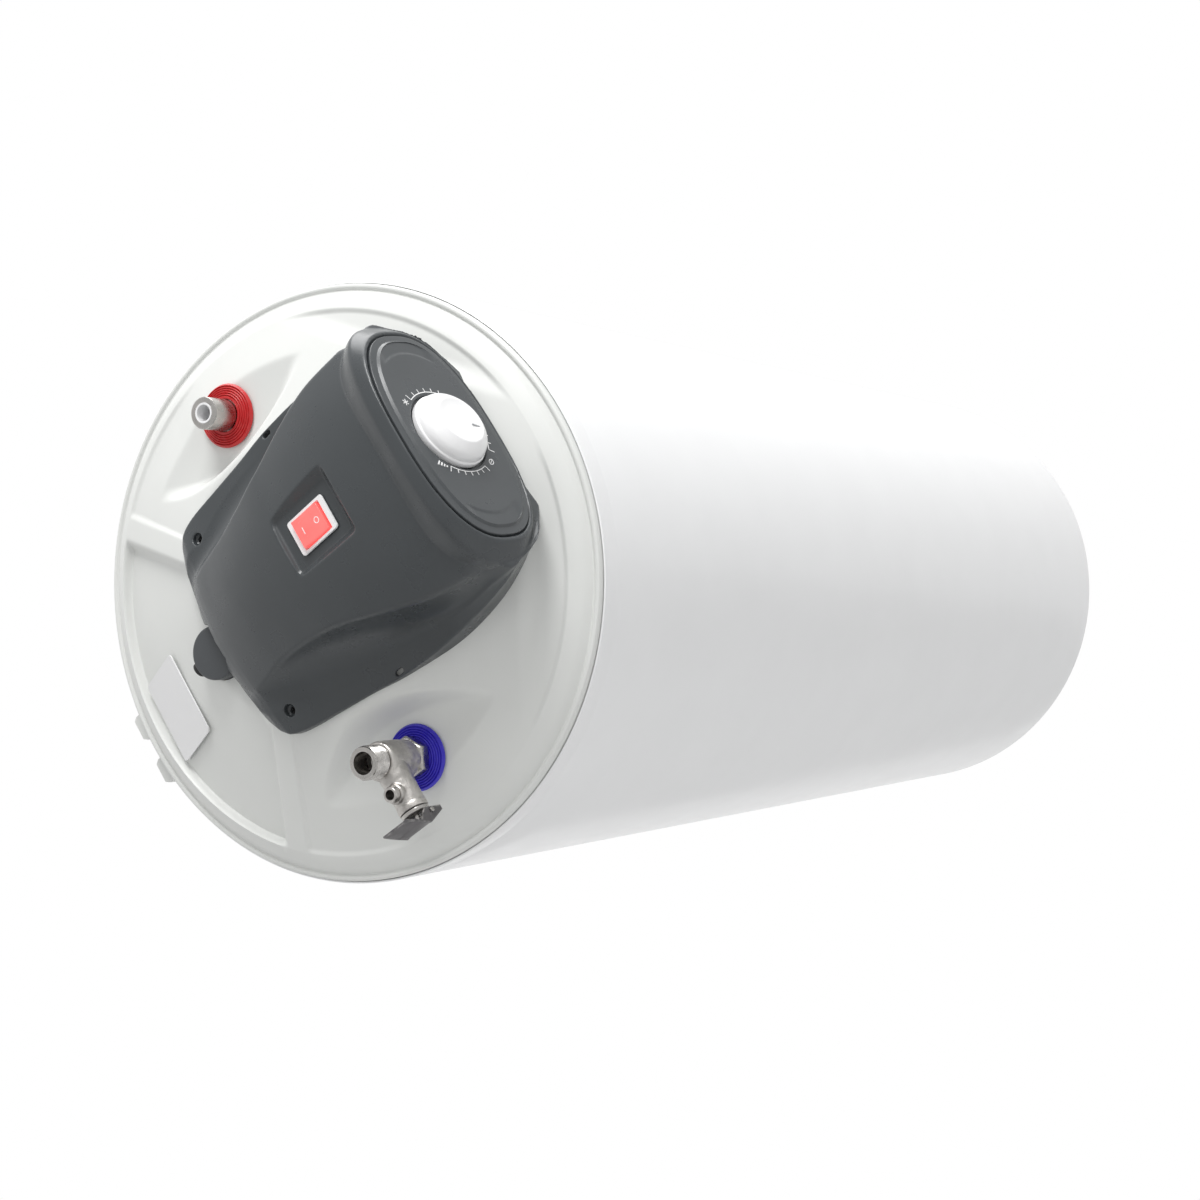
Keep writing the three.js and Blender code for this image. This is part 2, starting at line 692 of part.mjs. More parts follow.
const SCREW_BACK = 46.6; // cover screws, behind the axis and above and below it
const SCREW_UP = 65.2;
const SCREW_SEAT = 50.6; // height of the shoulder that each sunk screw head sits on
const SCREW_WELL = 4; // radius of the well over a screw head
const LATCH_SLOT = { forward: 33.5, up: 89.6, length: 6.4, width: 3 };

// Towards the front the skirt leans in under the cover's edge, to meet the falling lid.
const skirtTuck = (forward) => 0.0042 * Math.max(0, forward - 60) ** 2;

function coverSection({ forward, crest, ridge, foot, edge }) {
  const [ridgeAcross, ridgeUp] = ridge;
  const across = [0, 0.4, 0.75, 1].map((part) => part * ridgeAcross);
  const barrel = across.map((a) => [a, crest - (crest - ridgeUp) * (a / ridgeAcross) ** 2]);
  const scoop = [ridgeAcross * 0.45 + foot[0] * 0.55, ridgeUp * 0.35 + foot[1] * 0.65];
  const lean = Math.tan(DIAL_TILT) * smooth(0, 126, forward);
  const skirt = [[edge[0], edge[1] - 5], [edge[0] - skirtTuck(forward), COVER_BASE]];
  return [...barrel, scoop, foot, edge, ...skirt].map(
    ([a, proud]) => [forward + (DIAL_PROUD - Math.max(proud, 40)) * lean, proud, a],
  );
}

// Mirrors half a section into a ring, as points in the drum's frame.
function coverRing(half, inset = 0, drop = 0) {
  const moved = half.map(([forward, proud, a]) => [forward, proud - inset, Math.max(a - inset, 0)]);
  moved[moved.length - 1][1] -= drop;
  const other = moved.slice(1).map(([forward, proud, a]) => [forward, proud, -a]);
  return [...other.reverse(), ...moved].map(([forward, proud, a]) => [-proud, -forward, a]);
}

const sections = COVER_STATIONS.map(coverSection);

// The lid's face, raised by a gap: it trims the cover's skirt.
function lidBlock() {
  const rim = CASING_RADIUS + 10;
  const face = lidFace.slice(5).map(([x, radius]) => [x - GAP, radius]);
  const block = turned([[20, 0], [20, rim], [0, rim], ...face, [-PLATEAU_HEIGHT - GAP, 0]], 48);
  const at = block.attributes.position;
  for (let i = 0; i < at.count; i += 1) {
    if (at.getX(i) < 0) at.setX(i, at.getX(i) + lidPocket(-at.getY(i), at.getZ(i)));
  }
  return block;
}

// A group whose z points straight out of the dial's face, and whose y points up.
function faceGroup(parent, proud, forward, outward) {
  const group = groupAt(parent, -proud, -forward, 0);
  const up = new THREE.Vector3(0, 0, 1);
  const side = new THREE.Vector3().crossVectors(up, outward);
  group.quaternion.setFromRotationMatrix(new THREE.Matrix4().makeBasis(side, up, outward));
  group.updateMatrix();
  return group;
}
const dialOut = new THREE.Vector3(-Math.sin(DIAL_TILT), -Math.cos(DIAL_TILT), 0);
const switchOut = new THREE.Vector3(-Math.cos(SWITCH_TILT), Math.sin(SWITCH_TILT), 0);
const dialFace = faceGroup(drum, DIAL_PROUD, DIAL_FORWARD, dialOut);
const switchFace = faceGroup(drum, SWITCH_PROUD, SWITCH_FORWARD, switchOut);

// An oval outline with bowed sides, as a list of [x, y].
function oval(halfWidth, halfHeight, count = 32, squareness = 0.8) {
  return Array.from({ length: count }, (_, k) => {
    const angle = (2 * Math.PI * k) / count;
    const [c, s] = [Math.cos(angle), Math.sin(angle)];
    return [
      halfWidth * Math.sign(c) * Math.abs(c) ** squareness,
      halfHeight * Math.sign(s) * Math.abs(s) ** squareness,
    ];
  });
}
const PANEL_SHIFT = 2; // the panel's centre is this far towards the casing from the knob
const panelRing = (halfWidth, halfHeight, z) =>
  oval(halfWidth, halfHeight).map(([x, y]) => [x + PANEL_SHIFT, y, z]);

const SWITCH_BODY = [28, 20]; // along the cover, and up
const POCKET_FLOOR = [47, 37];
const POCKET_MOUTH = [66, 60];
const rectangle = ([width, height], z, x = 0) => [
  [x - width / 2, -height / 2, z],
  [x + width / 2, -height / 2, z],
  [x + width / 2, height / 2, z],
  [x - width / 2, height / 2, z],
];

function controlCover() {
  const toDrum = (geometry, face) => geometry.applyMatrix4(face.matrix);
  const outer = loft([...sections.map((s) => coverRing(s)), coverRing(FRONT_RING)]);
  // The barrel flares up into the ring that the dial panel lies on.
  const seatRings = [
    [37, 80, -34],
    [40, 83, -26],
    [43.5, 85.5, -18],
    [45, 86, -13],
    [45.5, 84, -10],
    [44.2, 78, -5.5],
    [43.2, 75, -3.9],
  ].map(([halfWidth, halfHeight, z]) => panelRing(halfWidth, halfHeight, z));
  const dialSeat = toDrum(loft(seatRings), dialFace);
  const innerSections = sections.slice(1).map((s) => coverRing(s, COVER_WALL, 8));
  const innerFront = FRONT_RING.map(([forward, proud, a]) => [forward - 7, proud, a]);
  const inner = loft([...innerSections, coverRing(innerFront, COVER_WALL, 8)]);
  const bezelSeat = toDrum(loft([panelRing(44, 75, -22), panelRing(44, 75, -9), panelRing(38, 69, -4)]), dialFace);
  const pocket = toDrum(loft([rectangle(POCKET_FLOOR, 0), rectangle(POCKET_MOUTH, 13, 1)]), switchFace);
  const pocketBack = toDrum(box(0, 0, -3, 51, 41, 6), switchFace);
  const switchHole = toDrum(box(0, 0, 0, SWITCH_BODY[0] + 1, SWITCH_BODY[1] + 1, 30), switchFace);
  const panelHole = toDrum(loft([panelRing(33, 62, -40), panelRing(33, 62, 10)]), dialFace);
  const atScrew = (geometry, side) => geometry.translate(0, SCREW_BACK, side * SCREW_UP);
  const screwBosses = [-1, 1].map((side) => atScrew(turned(rodProfile(-54, -40, SCREW_WELL + 2.4), 16), side));
  const screwWells = [-1, 1].map((side) =>
    atScrew(
      turned([[-70, 0], [-70, SCREW_WELL], [-SCREW_SEAT, SCREW_WELL], [-SCREW_SEAT, 2.3], [-30, 2.3], [-30, 0]], 16),
      side,
    ),
  );
  const latchSlots = [-1, 1].map((side) =>
    box(-50, -LATCH_SLOT.forward, side * LATCH_SLOT.up, 24, LATCH_SLOT.length, LATCH_SLOT.width),
  );
  const hollow = cut(inner, pocketBack, bezelSeat, ...screwBosses);
  const openings = [pocket, switchHole, panelHole, ...screwWells, ...latchSlots];
  return cut(join(outer, dialSeat), hollow, ...openings, lidBlock(), glandBoss(GAP));
}

add(drum, "control_cover", "cover_plastic", controlCover());

for (const [name, side] of [["upper", 1], ["lower", -1]]) {
  const head = turned(rodProfile(-SCREW_SEAT - 2.6, -SCREW_SEAT - GAP, SCREW_WELL - GAP), 16);
  const shank = turned(rodProfile(-SCREW_SEAT - 1, -48, 1.8), 10);
  const screw = add(drum, `cover_screw_${name}`, "zinc_steel", join(head, shank));
  screw.position.set(0, SCREW_BACK, side * SCREW_UP);
}

// ---- Dial panel, knob and thermostat ----
const KNOB_RADIUS = 25.4;
function dialPanel() {
  const plate = loft([panelRing(41, 72.5, -3.6), panelRing(41, 72.5, -1.6), panelRing(35, 67, 0)]);
  const knobRecess = turnedZ(rodProfile(-2.4, 2, KNOB_RADIUS + 1.6), 32);
  const spindleHole = turnedZ(rodProfile(-10, 2, 4.4), 16);
  return cut(plate, knobRecess, spindleHole);
}
add(dialFace, "dial_panel", "cover_plastic", dialPanel());

const knob = turnedZ(
  [
    [-2, 3.2],
    [-2, KNOB_RADIUS],
    [1.6, KNOB_RADIUS],
    [2.2, 24.4],
    [5, 24],
    [9, 21.2],
    [11.6, 17.6],
    [12.2, 16],
    [11, 13],
    [10.4, 6],
    [10.2, 0],
    [6, 0],
    [6, 3.2],
    [-2, 3.2],
  ],
  32,
);
const pointer = box(0, 0, 12, 10, 1, 3);
const POINTER_ANGLE = THREE.MathUtils.degToRad(-24);
add(
  dialFace,
  "thermostat_knob",
  "knob_plastic",
  cut(knob, pointer.translate(10, 0, 0).rotateZ(POINTER_ANGLE)),
);
add(dialFace, "thermostat_spindle", "zinc_steel", turnedZ(rodProfile(-17.6, 5.6, 2.8), 12));

const thermostatCase = box(0, 0, -32, 34, 44, 28);
const thermostatBush = turnedZ(rodProfile(-19, -11, 5.5), 16);
const spindleWell = turnedZ(rodProfile(-19, -8, 3.2), 16);
add(dialFace, "thermostat_body", "bakelite", cut(join(thermostatCase, thermostatBush), spindleWell));

// ---- Power switch ----
const ROCKER_SIZE = [21.5, 18.6];
function switchHousing() {
  const flangePart = box(0, 0, 1.2, 32, 24, 1.6);
  const bodyPart = box(0, 0, -8.5, SWITCH_BODY[0], SWITCH_BODY[1], 18);
  const well = box(0, 0, 0, ROCKER_SIZE[0] + 2.4, ROCKER_SIZE[1] + 0.9, 16);
  return cut(join(flangePart, bodyPart), well);
}
add(switchFace, "switch_housing", "knob_plastic", switchHousing());
function rocker() {
  const [half, tall] = [ROCKER_SIZE[0] / 2, ROCKER_SIZE[1]];
  const side = new THREE.Shape();
  side.moveTo(-half, 4.8);
  side.quadraticCurveTo(0, 2.6, half, 3.2);
  side.lineTo(half - 0.8, -2.6);
  side.lineTo(0, -6);
  side.lineTo(-half + 0.8, -1);
  side.closePath();
  const options = { depth: tall, bevelEnabled: false, curveSegments: 6 };
  return facingOut(new THREE.ExtrudeGeometry(side, options).rotateX(Math.PI / 2).translate(0, tall / 2, 0));
}
add(switchFace, "power_rocker", "red_lens", rocker());

// ---- Cable gland, terminals and wiring ----
const gland = groupAt(drum, 0, GLAND_BACK, 0);
const alongY = (profile, segments) => turned(profile, segments).rotateZ(Math.PI / 2);
const cableBore = (radius) =>
  alongY(rodProfile(-GLAND_RADIUS - 6, GLAND_RADIUS + 6, radius), 20).translate(-GLAND_BORE_PROUD, 0, 0);
add(
  gland,
  "cable_gland_body",
  "gland_plastic",
  cut(glandBoss(0).translate(0, -GLAND_BACK, 0), cableBore(GLAND_BORE + 1.6 + GAP)),
);
const sleeve = alongY(ringProfile(6, GLAND_RADIUS + 3, GLAND_BORE + 1.6, GLAND_BORE), 20);
add(gland, "cable_gland_sleeve", "rubber", sleeve).position.x = -GLAND_BORE_PROUD;

const terminals = groupAt(drum, -54, 6, 24);
const terminalHoles = [-10, 0, 10].map((z) => turned(rodProfile(-12, -4, 2.6), 10).translate(0, 0, z));
add(terminals, "terminal_block", "bakelite", cut(box(0, 0, 0, 14, 22, 34), ...terminalHoles));

const wireRoute = (points) => new THREE.CatmullRomCurve3(points.map((p) => new THREE.Vector3(...p)));
const liveRoute = wireRoute([[-62, -6, 36], [-68, -16, 32], [-72, -36, 14], [-72, -50, 6]]);
const neutralRoute = wireRoute([[-61, -6, 14], [-60, -10, 4], [-40, -10, -6], [-12, -14, -18]]);
const lampRoute = wireRoute([[-62, 18, 24], [-64, 26, 8], [-50, 34, -10], [-12, 22, -20]]);
add(drum, "live_wire", "bakelite", bar(liveRoute, 1.3, 14, 2));
add(drum, "neutral_wire", "blue_collar", bar(neutralRoute, 1.3, 14, 2));
add(drum, "element_wire", "red_collar", bar(lampRoute, 1.3, 14, 2));

// ---- Wall brackets, wall rests and rating label ----
const BRACKET_SPACING = 584;
const BRACKET_WIDTH = 90;
const BRACKET_TOP = 142;
const BRACKET_BOTTOM = 66;
const BRACKET_SHEET = 3;
const KEYHOLE_HEIGHT = 112;
function wallBracket() {
  const plate = box(0, -BRACKET_SHEET / 2, (BRACKET_TOP + BRACKET_BOTTOM) / 2, BRACKET_WIDTH,
    BRACKET_SHEET, BRACKET_TOP - BRACKET_BOTTOM);
  const cheekFrom = (x) =>
    box(x, -40, (BRACKET_TOP + BRACKET_BOTTOM) / 2, BRACKET_SHEET, 80, BRACKET_TOP - BRACKET_BOTTOM);
  const cheeks = [-1, 1].map((side) => cheekFrom((side * (BRACKET_WIDTH - BRACKET_SHEET)) / 2));
  const drumSpace = turned(rodProfile(-60, 60, CASING_RADIUS + GAP), 96).translate(0, -WALL_TO_AXIS, 0);
  const headHole = alongY(rodProfile(-5, 5, 9.5), 20).translate(0, 0, KEYHOLE_HEIGHT - 16);
  const neck = box(0, 0, KEYHOLE_HEIGHT - 8, 10.4, 10, 16);
  const neckEnd = alongY(rodProfile(-5, 5, 5.2), 16).translate(0, 0, KEYHOLE_HEIGHT);
  return cut(join(plate, ...cheeks), drumSpace, headHole, neck, neckEnd);
}
for (const [name, side] of [["control_end", -1], ["far_end", 1]]) {
  const bracket = add(heater, `wall_bracket_${name}`, "zinc_steel", wallBracket());
  bracket.position.x = (side * BRACKET_SPACING) / 2;
}

const REST_HEIGHT = 18.5;
const REST_WIDTH = 34;
function wallRest() {
  return loft([
    [[-REST_WIDTH / 2, 0, -7], [REST_WIDTH / 2, 0, -7], [REST_WIDTH / 2, 0, 7], [-REST_WIDTH / 2, 0, 7]],
    [[-REST_WIDTH / 2, -3, -9.2], [REST_WIDTH / 2, -3, -9.2], [REST_WIDTH / 2, -3, 9.2],
      [-REST_WIDTH / 2, -3, 9.2]],
    [[-REST_WIDTH / 2, -14, -9.2], [REST_WIDTH / 2, -14, -9.2], [REST_WIDTH / 2, -14, 9.2],
      [-REST_WIDTH / 2, -14, 9.2]],
  ]);
}
const REST_INSET = 24; // from the rim to the middle of the rest
for (const [end, x] of [["control_end", -1], ["far_end", 1]]) {
  for (const [level, z] of [["upper", 1], ["lower", -1]]) {
    const drumSpace = turned(rodProfile(-60, 60, CASING_RADIUS + GAP), 96);
    const up = (z * (REST_HEIGHT + 16)) / 2;
    drumSpace.translate(0, -WALL_TO_AXIS, -up);
    const rest = add(heater, `wall_rest_${end}_${level}`, "lid_plastic", cut(wallRest(), drumSpace));
    rest.position.set(x * (CASING_LENGTH / 2 - REST_INSET), 0, up);
  }
}

const LABEL_SIZE = [44, 60];
const LABEL_BACK = 147; // middle of the label, behind the axis
const label = groupAt(drum, 0, LABEL_BACK, 0);
function labelPlate() {
  const plate = new THREE.Shape();
  const [w, h] = LABEL_SIZE.map((size) => size / 2);
  const corner = 3;
  plate.moveTo(-w + corner, -h);
  plate.absarc(w - corner, -h + corner, corner, -Math.PI / 2, 0);
  plate.absarc(w - corner, h - corner, corner, 0, Math.PI / 2);
  plate.absarc(-w + corner, h - corner, corner, Math.PI / 2, Math.PI);
  plate.absarc(-w + corner, -h + corner, corner, Math.PI, 1.5 * Math.PI);
  const options = { depth: 1, bevelEnabled: false, curveSegments: 4 };
  const flat = facingOut(new THREE.ExtrudeGeometry(plate, options));
  return flat.rotateY(-Math.PI / 2).rotateX(Math.PI / 2);
}
const labelMesh = add(label, "rating_label", "label_film", labelPlate());
labelMesh.position.x = -18.2;
labelMesh.rotation.z = -0.387;

export default heater;
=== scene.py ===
"""A wall-hung horizontal tank water heater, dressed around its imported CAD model.

Lengths are in millimetres in the drum's own frame until build() turns them into metres in the row frame.
In the drum's frame x = 0 is the control-end rim's plane, -x is out of the lid, -y to the room and +z up.
"""

import json
import math

import bmesh
import bpy
import numpy as np
from mathutils import Matrix, Vector


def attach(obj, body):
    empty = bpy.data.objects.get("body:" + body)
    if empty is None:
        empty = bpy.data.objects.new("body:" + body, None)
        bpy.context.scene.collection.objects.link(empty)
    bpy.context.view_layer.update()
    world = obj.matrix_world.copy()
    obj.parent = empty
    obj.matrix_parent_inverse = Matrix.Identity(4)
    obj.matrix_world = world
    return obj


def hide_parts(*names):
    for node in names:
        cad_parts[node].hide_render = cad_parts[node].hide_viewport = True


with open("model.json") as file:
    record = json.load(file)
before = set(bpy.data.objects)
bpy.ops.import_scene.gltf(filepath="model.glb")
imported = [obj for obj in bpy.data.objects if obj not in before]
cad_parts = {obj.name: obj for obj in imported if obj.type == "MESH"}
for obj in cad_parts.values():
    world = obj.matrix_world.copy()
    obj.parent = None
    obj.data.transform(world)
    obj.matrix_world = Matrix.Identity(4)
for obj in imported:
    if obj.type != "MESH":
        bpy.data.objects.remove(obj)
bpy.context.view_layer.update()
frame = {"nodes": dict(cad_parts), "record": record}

# ---- Sizes, in millimetres ----
CASING_RADIUS = 193.5
CASING_LENGTH = 984
SKIRT_RADIUS = 191.9
PIPE_HEIGHT = 131.6
PIPE_RADIUS = 10.5
PIPE_BORE = 6.8
HOT_PIPE_PROUD = 49.5
COLLAR_RADIUS = 21
COLLAR_SEAT = 25
PLATEAU_HEIGHT = 47
CONE_TOP_RADIUS = 91
CONE_FOOT_RADIUS = 175.5
CONE_FOOT_HEIGHT = 12.5
SERVICE_HOLE_RADIUS = 68
GLAND_BACK = 80
GLAND_RADIUS = 17.5
DIAL_TILT = math.radians(10)
SWITCH_TILT = math.radians(3)
PANEL_SHIFT = 2
KNOB_RADIUS = 25.4
PANEL_POINTS = 128  # round every outline of the dial panel and of its seat
SHADOW_GAP = 0.9  # between the control cover's skirt and the lid
SKIRT_POINTS = 6  # down each side of the control cover's skirt
SCREW_BACK = 46.6  # the control cover's two screws, behind and above or below the axis
SCREW_HEIGHT = 65.2
ROCKER_LENGTH = 21.5
AXIS_FROM_WALL = 204
FLOOR_LEVEL = -1650
FLOOR_RADIUS = 7000
VIEW_DIRECTION = (0.8706, 0.4051, 0.2793)  # the way the camera looks, in the row frame


# ---- Frames ----
def shifted(x, y, z, base=Matrix.Identity(4)):
    return base @ Matrix.Translation((x, y, z))


def face_frame(proud, forward, outward):
    """A frame whose z points out of a tilted face and whose y points up."""
    up = Vector((0, 0, 1))
    side = up.cross(outward)
    turn = Matrix((side, up, outward)).transposed().to_4x4()
    return shifted(-proud, -forward, 0, DRUM) @ turn


DRUM = shifted(-CASING_LENGTH / 2, -AXIS_FROM_WALL, 0)
GLAND = shifted(0, GLAND_BACK, 0, DRUM)
HOT = shifted(0, 0, PIPE_HEIGHT, DRUM)
COLD = shifted(0, 0, -PIPE_HEIGHT, DRUM)
VALVE = shifted(-29.5, 0, 0, COLD)
RELIEF = shifted(-27.9, 0, 0, VALVE)
DOWN = RELIEF @ Matrix.Rotation(math.pi, 4, "Y")  # z runs down from the valve's axis
DRAIN = shifted(0, 0, -23, RELIEF)
PIVOT = shifted(0, 0, -41.2, RELIEF)
PIN = PIVOT @ Matrix.Rotation(math.pi / 2, 4, "Z")  # x runs along the lever's pin
DIAL = face_frame(69.9, 154.6, Vector((-math.sin(DIAL_TILT), -math.cos(DIAL_TILT), 0)))
SWITCH = face_frame(95.4, 58.3, Vector((-math.cos(SWITCH_TILT), math.sin(SWITCH_TILT), 0)))


# ---- Mesh tools ----
def build(name, points, faces, at=DRUM, sharp=32):
    """A smooth-shaded object from points in millimetres in the frame at."""
    points = np.asarray(points, float)
    m = np.array(at)
    world = (points @ m[:3, :3].T + m[:3, 3]) * 0.001
    mesh = bpy.data.meshes.new(name)
    mesh.from_pydata(world.tolist(), [], faces)
    tidy = bmesh.new()
    tidy.from_mesh(mesh)
    bmesh.ops.remove_doubles(tidy, verts=tidy.verts, dist=1e-6)
    bmesh.ops.recalc_face_normals(tidy, faces=tidy.faces)
    tidy.to_mesh(mesh)
    tidy.free()
    ob = bpy.data.objects.new(name, mesh)
    bpy.context.scene.collection.objects.link(ob)
    return shade(ob, sharp)


def shade(ob, sharp=32):
    ob.data.shade_smooth()
    if sharp:
        ob.data.set_sharp_from_angle(angle=math.radians(sharp))
    return ob


def apply_modifiers(ob):
    evaluated = ob.evaluated_get(bpy.context.evaluated_depsgraph_get())
    mesh = bpy.data.meshes.new_from_object(evaluated)
    ob.modifiers.clear()
    ob.data = mesh


def combine(ob, others, operation="DIFFERENCE"):
    for other in others:
        step = ob.modifiers.new("step", "BOOLEAN")
        step.operation, step.solver, step.object = operation, "EXACT", other
        apply_modifiers(ob)
        bpy.data.objects.remove(other)
    return ob


def soften(ob, voxel, rounds, keep):
    """Remeshes a joined or cut solid so that all its edges come out rounded, as moulded or cast ones are."""
    remesh = ob.modifiers.new("remesh", "REMESH")
    remesh.mode, remesh.voxel_size = "VOXEL", voxel * 0.001
    smoothing = ob.modifiers.new("smooth", "SMOOTH")
    smoothing.factor, smoothing.iterations = 0.5, rounds
    ob.modifiers.new("thin", "DECIMATE").ratio = keep
    apply_modifiers(ob)
    return shade(ob, 0)


def bevelled(ob, width, segments, angle):
    edge = ob.modifiers.new("bevel", "BEVEL")
    edge.width, edge.segments = width * 0.001, segments
    edge.limit_method, edge.angle_limit = "ANGLE", math.radians(angle)
    apply_modifiers(ob)
    return shade(ob, 35)


def rounded(profile, radius, steps=4):
    """Rounds the inner corners of an open profile."""
    out = [profile[0]]
    for k in range(1, len(profile) - 1):
        here = np.array(profile[k], float)
        back, on = np.array(profile[k - 1]) - here, np.array(profile[k + 1]) - here
        far = min(radius, np.linalg.norm(back) * 0.45, np.linalg.norm(on) * 0.45)
        start = here + back / max(np.linalg.norm(back), 1e-9) * far
        end = here + on / max(np.linalg.norm(on), 1e-9) * far
        for t in np.linspace(0, 1, steps + 1):
            out.append(tuple((1 - t) ** 2 * start + 2 * t * (1 - t) * here + t * t * end))
    return out + [profile[-1]]


def lathe(name, profile, at=DRUM, count=96, sharp=32):
    """Turns (along x, radius) about x. A profile starts and ends on the axis, or closes on itself."""
    angles = 2 * math.pi * np.arange(count) / count
    closed = np.allclose(profile[0], profile[-1])
    use = profile[:-1] if closed else profile
    points, rings = [], []
    for x, radius in use:
        start = len(points)
        if radius < 1e-6:
            points.append((x, 0, 0))
            rings.append([start] * count)
        else:
            points.extend((x, radius * math.cos(a), radius * math.sin(a)) for a in angles)
            rings.append(list(range(start, start + count)))
    faces = []
    pairs = list(zip(rings, rings[1:])) + ([(rings[-1], rings[0])] if closed else [])
    for a, b in pairs:
        for k in range(count):
            j = (k + 1) % count
            corners = list(dict.fromkeys((a[k], a[j], b[j], b[k])))
            if len(corners) > 2:
                faces.append(corners)
    return build(name, points, faces, at, sharp)


def lathe_z(name, profile, at, count=96, sharp=32):
    """Turns (height, radius) about z."""
    return lathe(name, profile, at @ Matrix.Rotation(-math.pi / 2, 4, "Y"), count, sharp)


def loft(name, rings, at=DRUM, sharp=32, caps=True):
    """Joins rings with equal numbers of points by quads."""
    rings = [np.asarray(ring, float) for ring in rings]
    count = len(rings[0])
    faces = []
    for r in range(len(rings) - 1):
        for k in range(count):
            j = (k + 1) % count
            faces.append((r * count + k, r * count + j, (r + 1) * count + j, (r + 1) * count + k))
    if caps:
        faces.append(tuple(range(count)))
        faces.append(tuple(range((len(rings) - 1) * count, len(rings) * count)))
    return build(name, np.concatenate(rings), faces, at, sharp)


def block(name, centre, size, at):
    """A rectangular block, for cutting."""
    half = np.array(size) / 2
    signs = [(-1, -1), (1, -1), (1, 1), (-1, 1)]
    flat = [(centre[0] + half[0] * a, centre[1] + half[1] * b) for a, b in signs]
    return loft(name, [[(x, y, centre[2] + half[2] * k) for x, y in flat] for k in (-1, 1)], at)


def ramp(low, high, value):
    t = np.clip((value - low) / (high - low), 0, 1)
    return t * t * (3 - 2 * t)


def above(value, round_off=0.5):
    """max(value, 0) with a rounded corner."""
    return round_off * np.logaddexp(0, value / round_off)


# ---- Materials ----
def new_material(name):
    mat = bpy.data.materials.new(name)
    mat.use_nodes = True
    tree = mat.node_tree
    shader = tree.nodes["Principled BSDF"]
    coords = tree.nodes.new("ShaderNodeTexCoord")
    return mat, tree, shader, coords


def noise(tree, coords, scale, detail):
    tex = tree.nodes.new("ShaderNodeTexNoise")
    tex.inputs["Scale"].default_value = scale
    tex.inputs["Detail"].default_value = detail
    tree.links.new(coords.outputs["Object"], tex.inputs["Vector"])
    return tex.outputs["Fac"]


def span(tree, value, low, high, to_low, to_high):
    node = tree.nodes.new("ShaderNodeMapRange")
    for key, number in zip(("From Min", "From Max", "To Min", "To Max"), (low, high, to_low, to_high)):
        node.inputs[key].default_value = number
    tree.links.new(value, node.inputs["Value"])
    return node.outputs["Result"]


def mixed(tree, fac, a, b):
    node = tree.nodes.new("ShaderNodeMix")
    node.data_type = "RGBA"
    tree.links.new(fac, node.inputs["Factor"])
    for key, value in ((6, a), (7, b)):
        if isinstance(value, bpy.types.NodeSocket):
            tree.links.new(value, node.inputs[key])
        else:
            node.inputs[key].default_value = (*value, 1)
    return node.outputs[2]


def times(tree, a, b):
    node = tree.nodes.new("ShaderNodeMath")
    node.operation = "MULTIPLY"
    tree.links.new(a, node.inputs[0])
    tree.links.new(b, node.inputs[1])
    return node.outputs[0]


def edge_mask(tree, radius, spread):
    """1 along convex and concave edges, 0 on open faces."""
    bevel = tree.nodes.new("ShaderNodeBevel")
    bevel.samples = 6
    bevel.inputs["Radius"].default_value = radius
    geometry = tree.nodes.new("ShaderNodeNewGeometry")
    dot = tree.nodes.new("ShaderNodeVectorMath")
    dot.operation = "DOT_PRODUCT"
    tree.links.new(bevel.outputs[0], dot.inputs[0])
    tree.links.new(geometry.outputs["True Normal"], dot.inputs[1])
    return span(tree, dot.outputs["Value"], 1 - spread, 0.999, 1, 0)


def surface(name, colour, rough, metal=0.0, mottle=0.04, mottle_scale=18, grain=900, bump=0.04,
            bump_depth=0.0002, rough_vary=0.06, wear=None, wear_amount=0.5, coat=0.0, dust=None, emit=0.0):
    """A finish with drifting colour, fine grain in the relief, uneven gloss and worn edges."""
    mat, tree, shader, coords = new_material(name)
    base = np.array(colour)
    drift = noise(tree, coords, mottle_scale, 4)
    lighter = tuple(np.clip(base * (1 + mottle), 0, 1))
    darker = tuple(base * (1 - mottle))
    tint = mixed(tree, span(tree, drift, 0.3, 0.7, 0, 1), darker, lighter)
    if dust:
        fine = noise(tree, coords, grain * 0.35, 6)
        tint = mixed(tree, span(tree, fine, 0.55, 0.8, 0, 0.6), tint, dust)
    if wear:
        patches = noise(tree, coords, 260, 5)
        worn = times(tree, edge_mask(tree, 0.0012, 0.06), span(tree, patches, 0.42, 0.62, 0, wear_amount))
        tint = mixed(tree, worn, tint, wear)
    tree.links.new(tint, shader.inputs["Base Color"])
    if emit:
        tree.links.new(tint, shader.inputs["Emission Color"])
        shader.inputs["Emission Strength"].default_value = emit
    gloss = noise(tree, coords, mottle_scale * 3, 5)
    tree.links.new(span(tree, gloss, 0.3, 0.7, max(0.02, rough - rough_vary), rough + rough_vary),
                   shader.inputs["Roughness"])
    relief = tree.nodes.new("ShaderNodeBump")
    relief.inputs["Strength"].default_value = bump
    relief.inputs["Distance"].default_value = bump_depth
    tree.links.new(noise(tree, coords, grain, 4), relief.inputs["Height"])
    tree.links.new(relief.outputs["Normal"], shader.inputs["Normal"])
    shader.inputs["Metallic"].default_value = metal
    shader.inputs["Coat Weight"].default_value = coat
    shader.inputs["Coat Roughness"].default_value = 0.12
    return mat


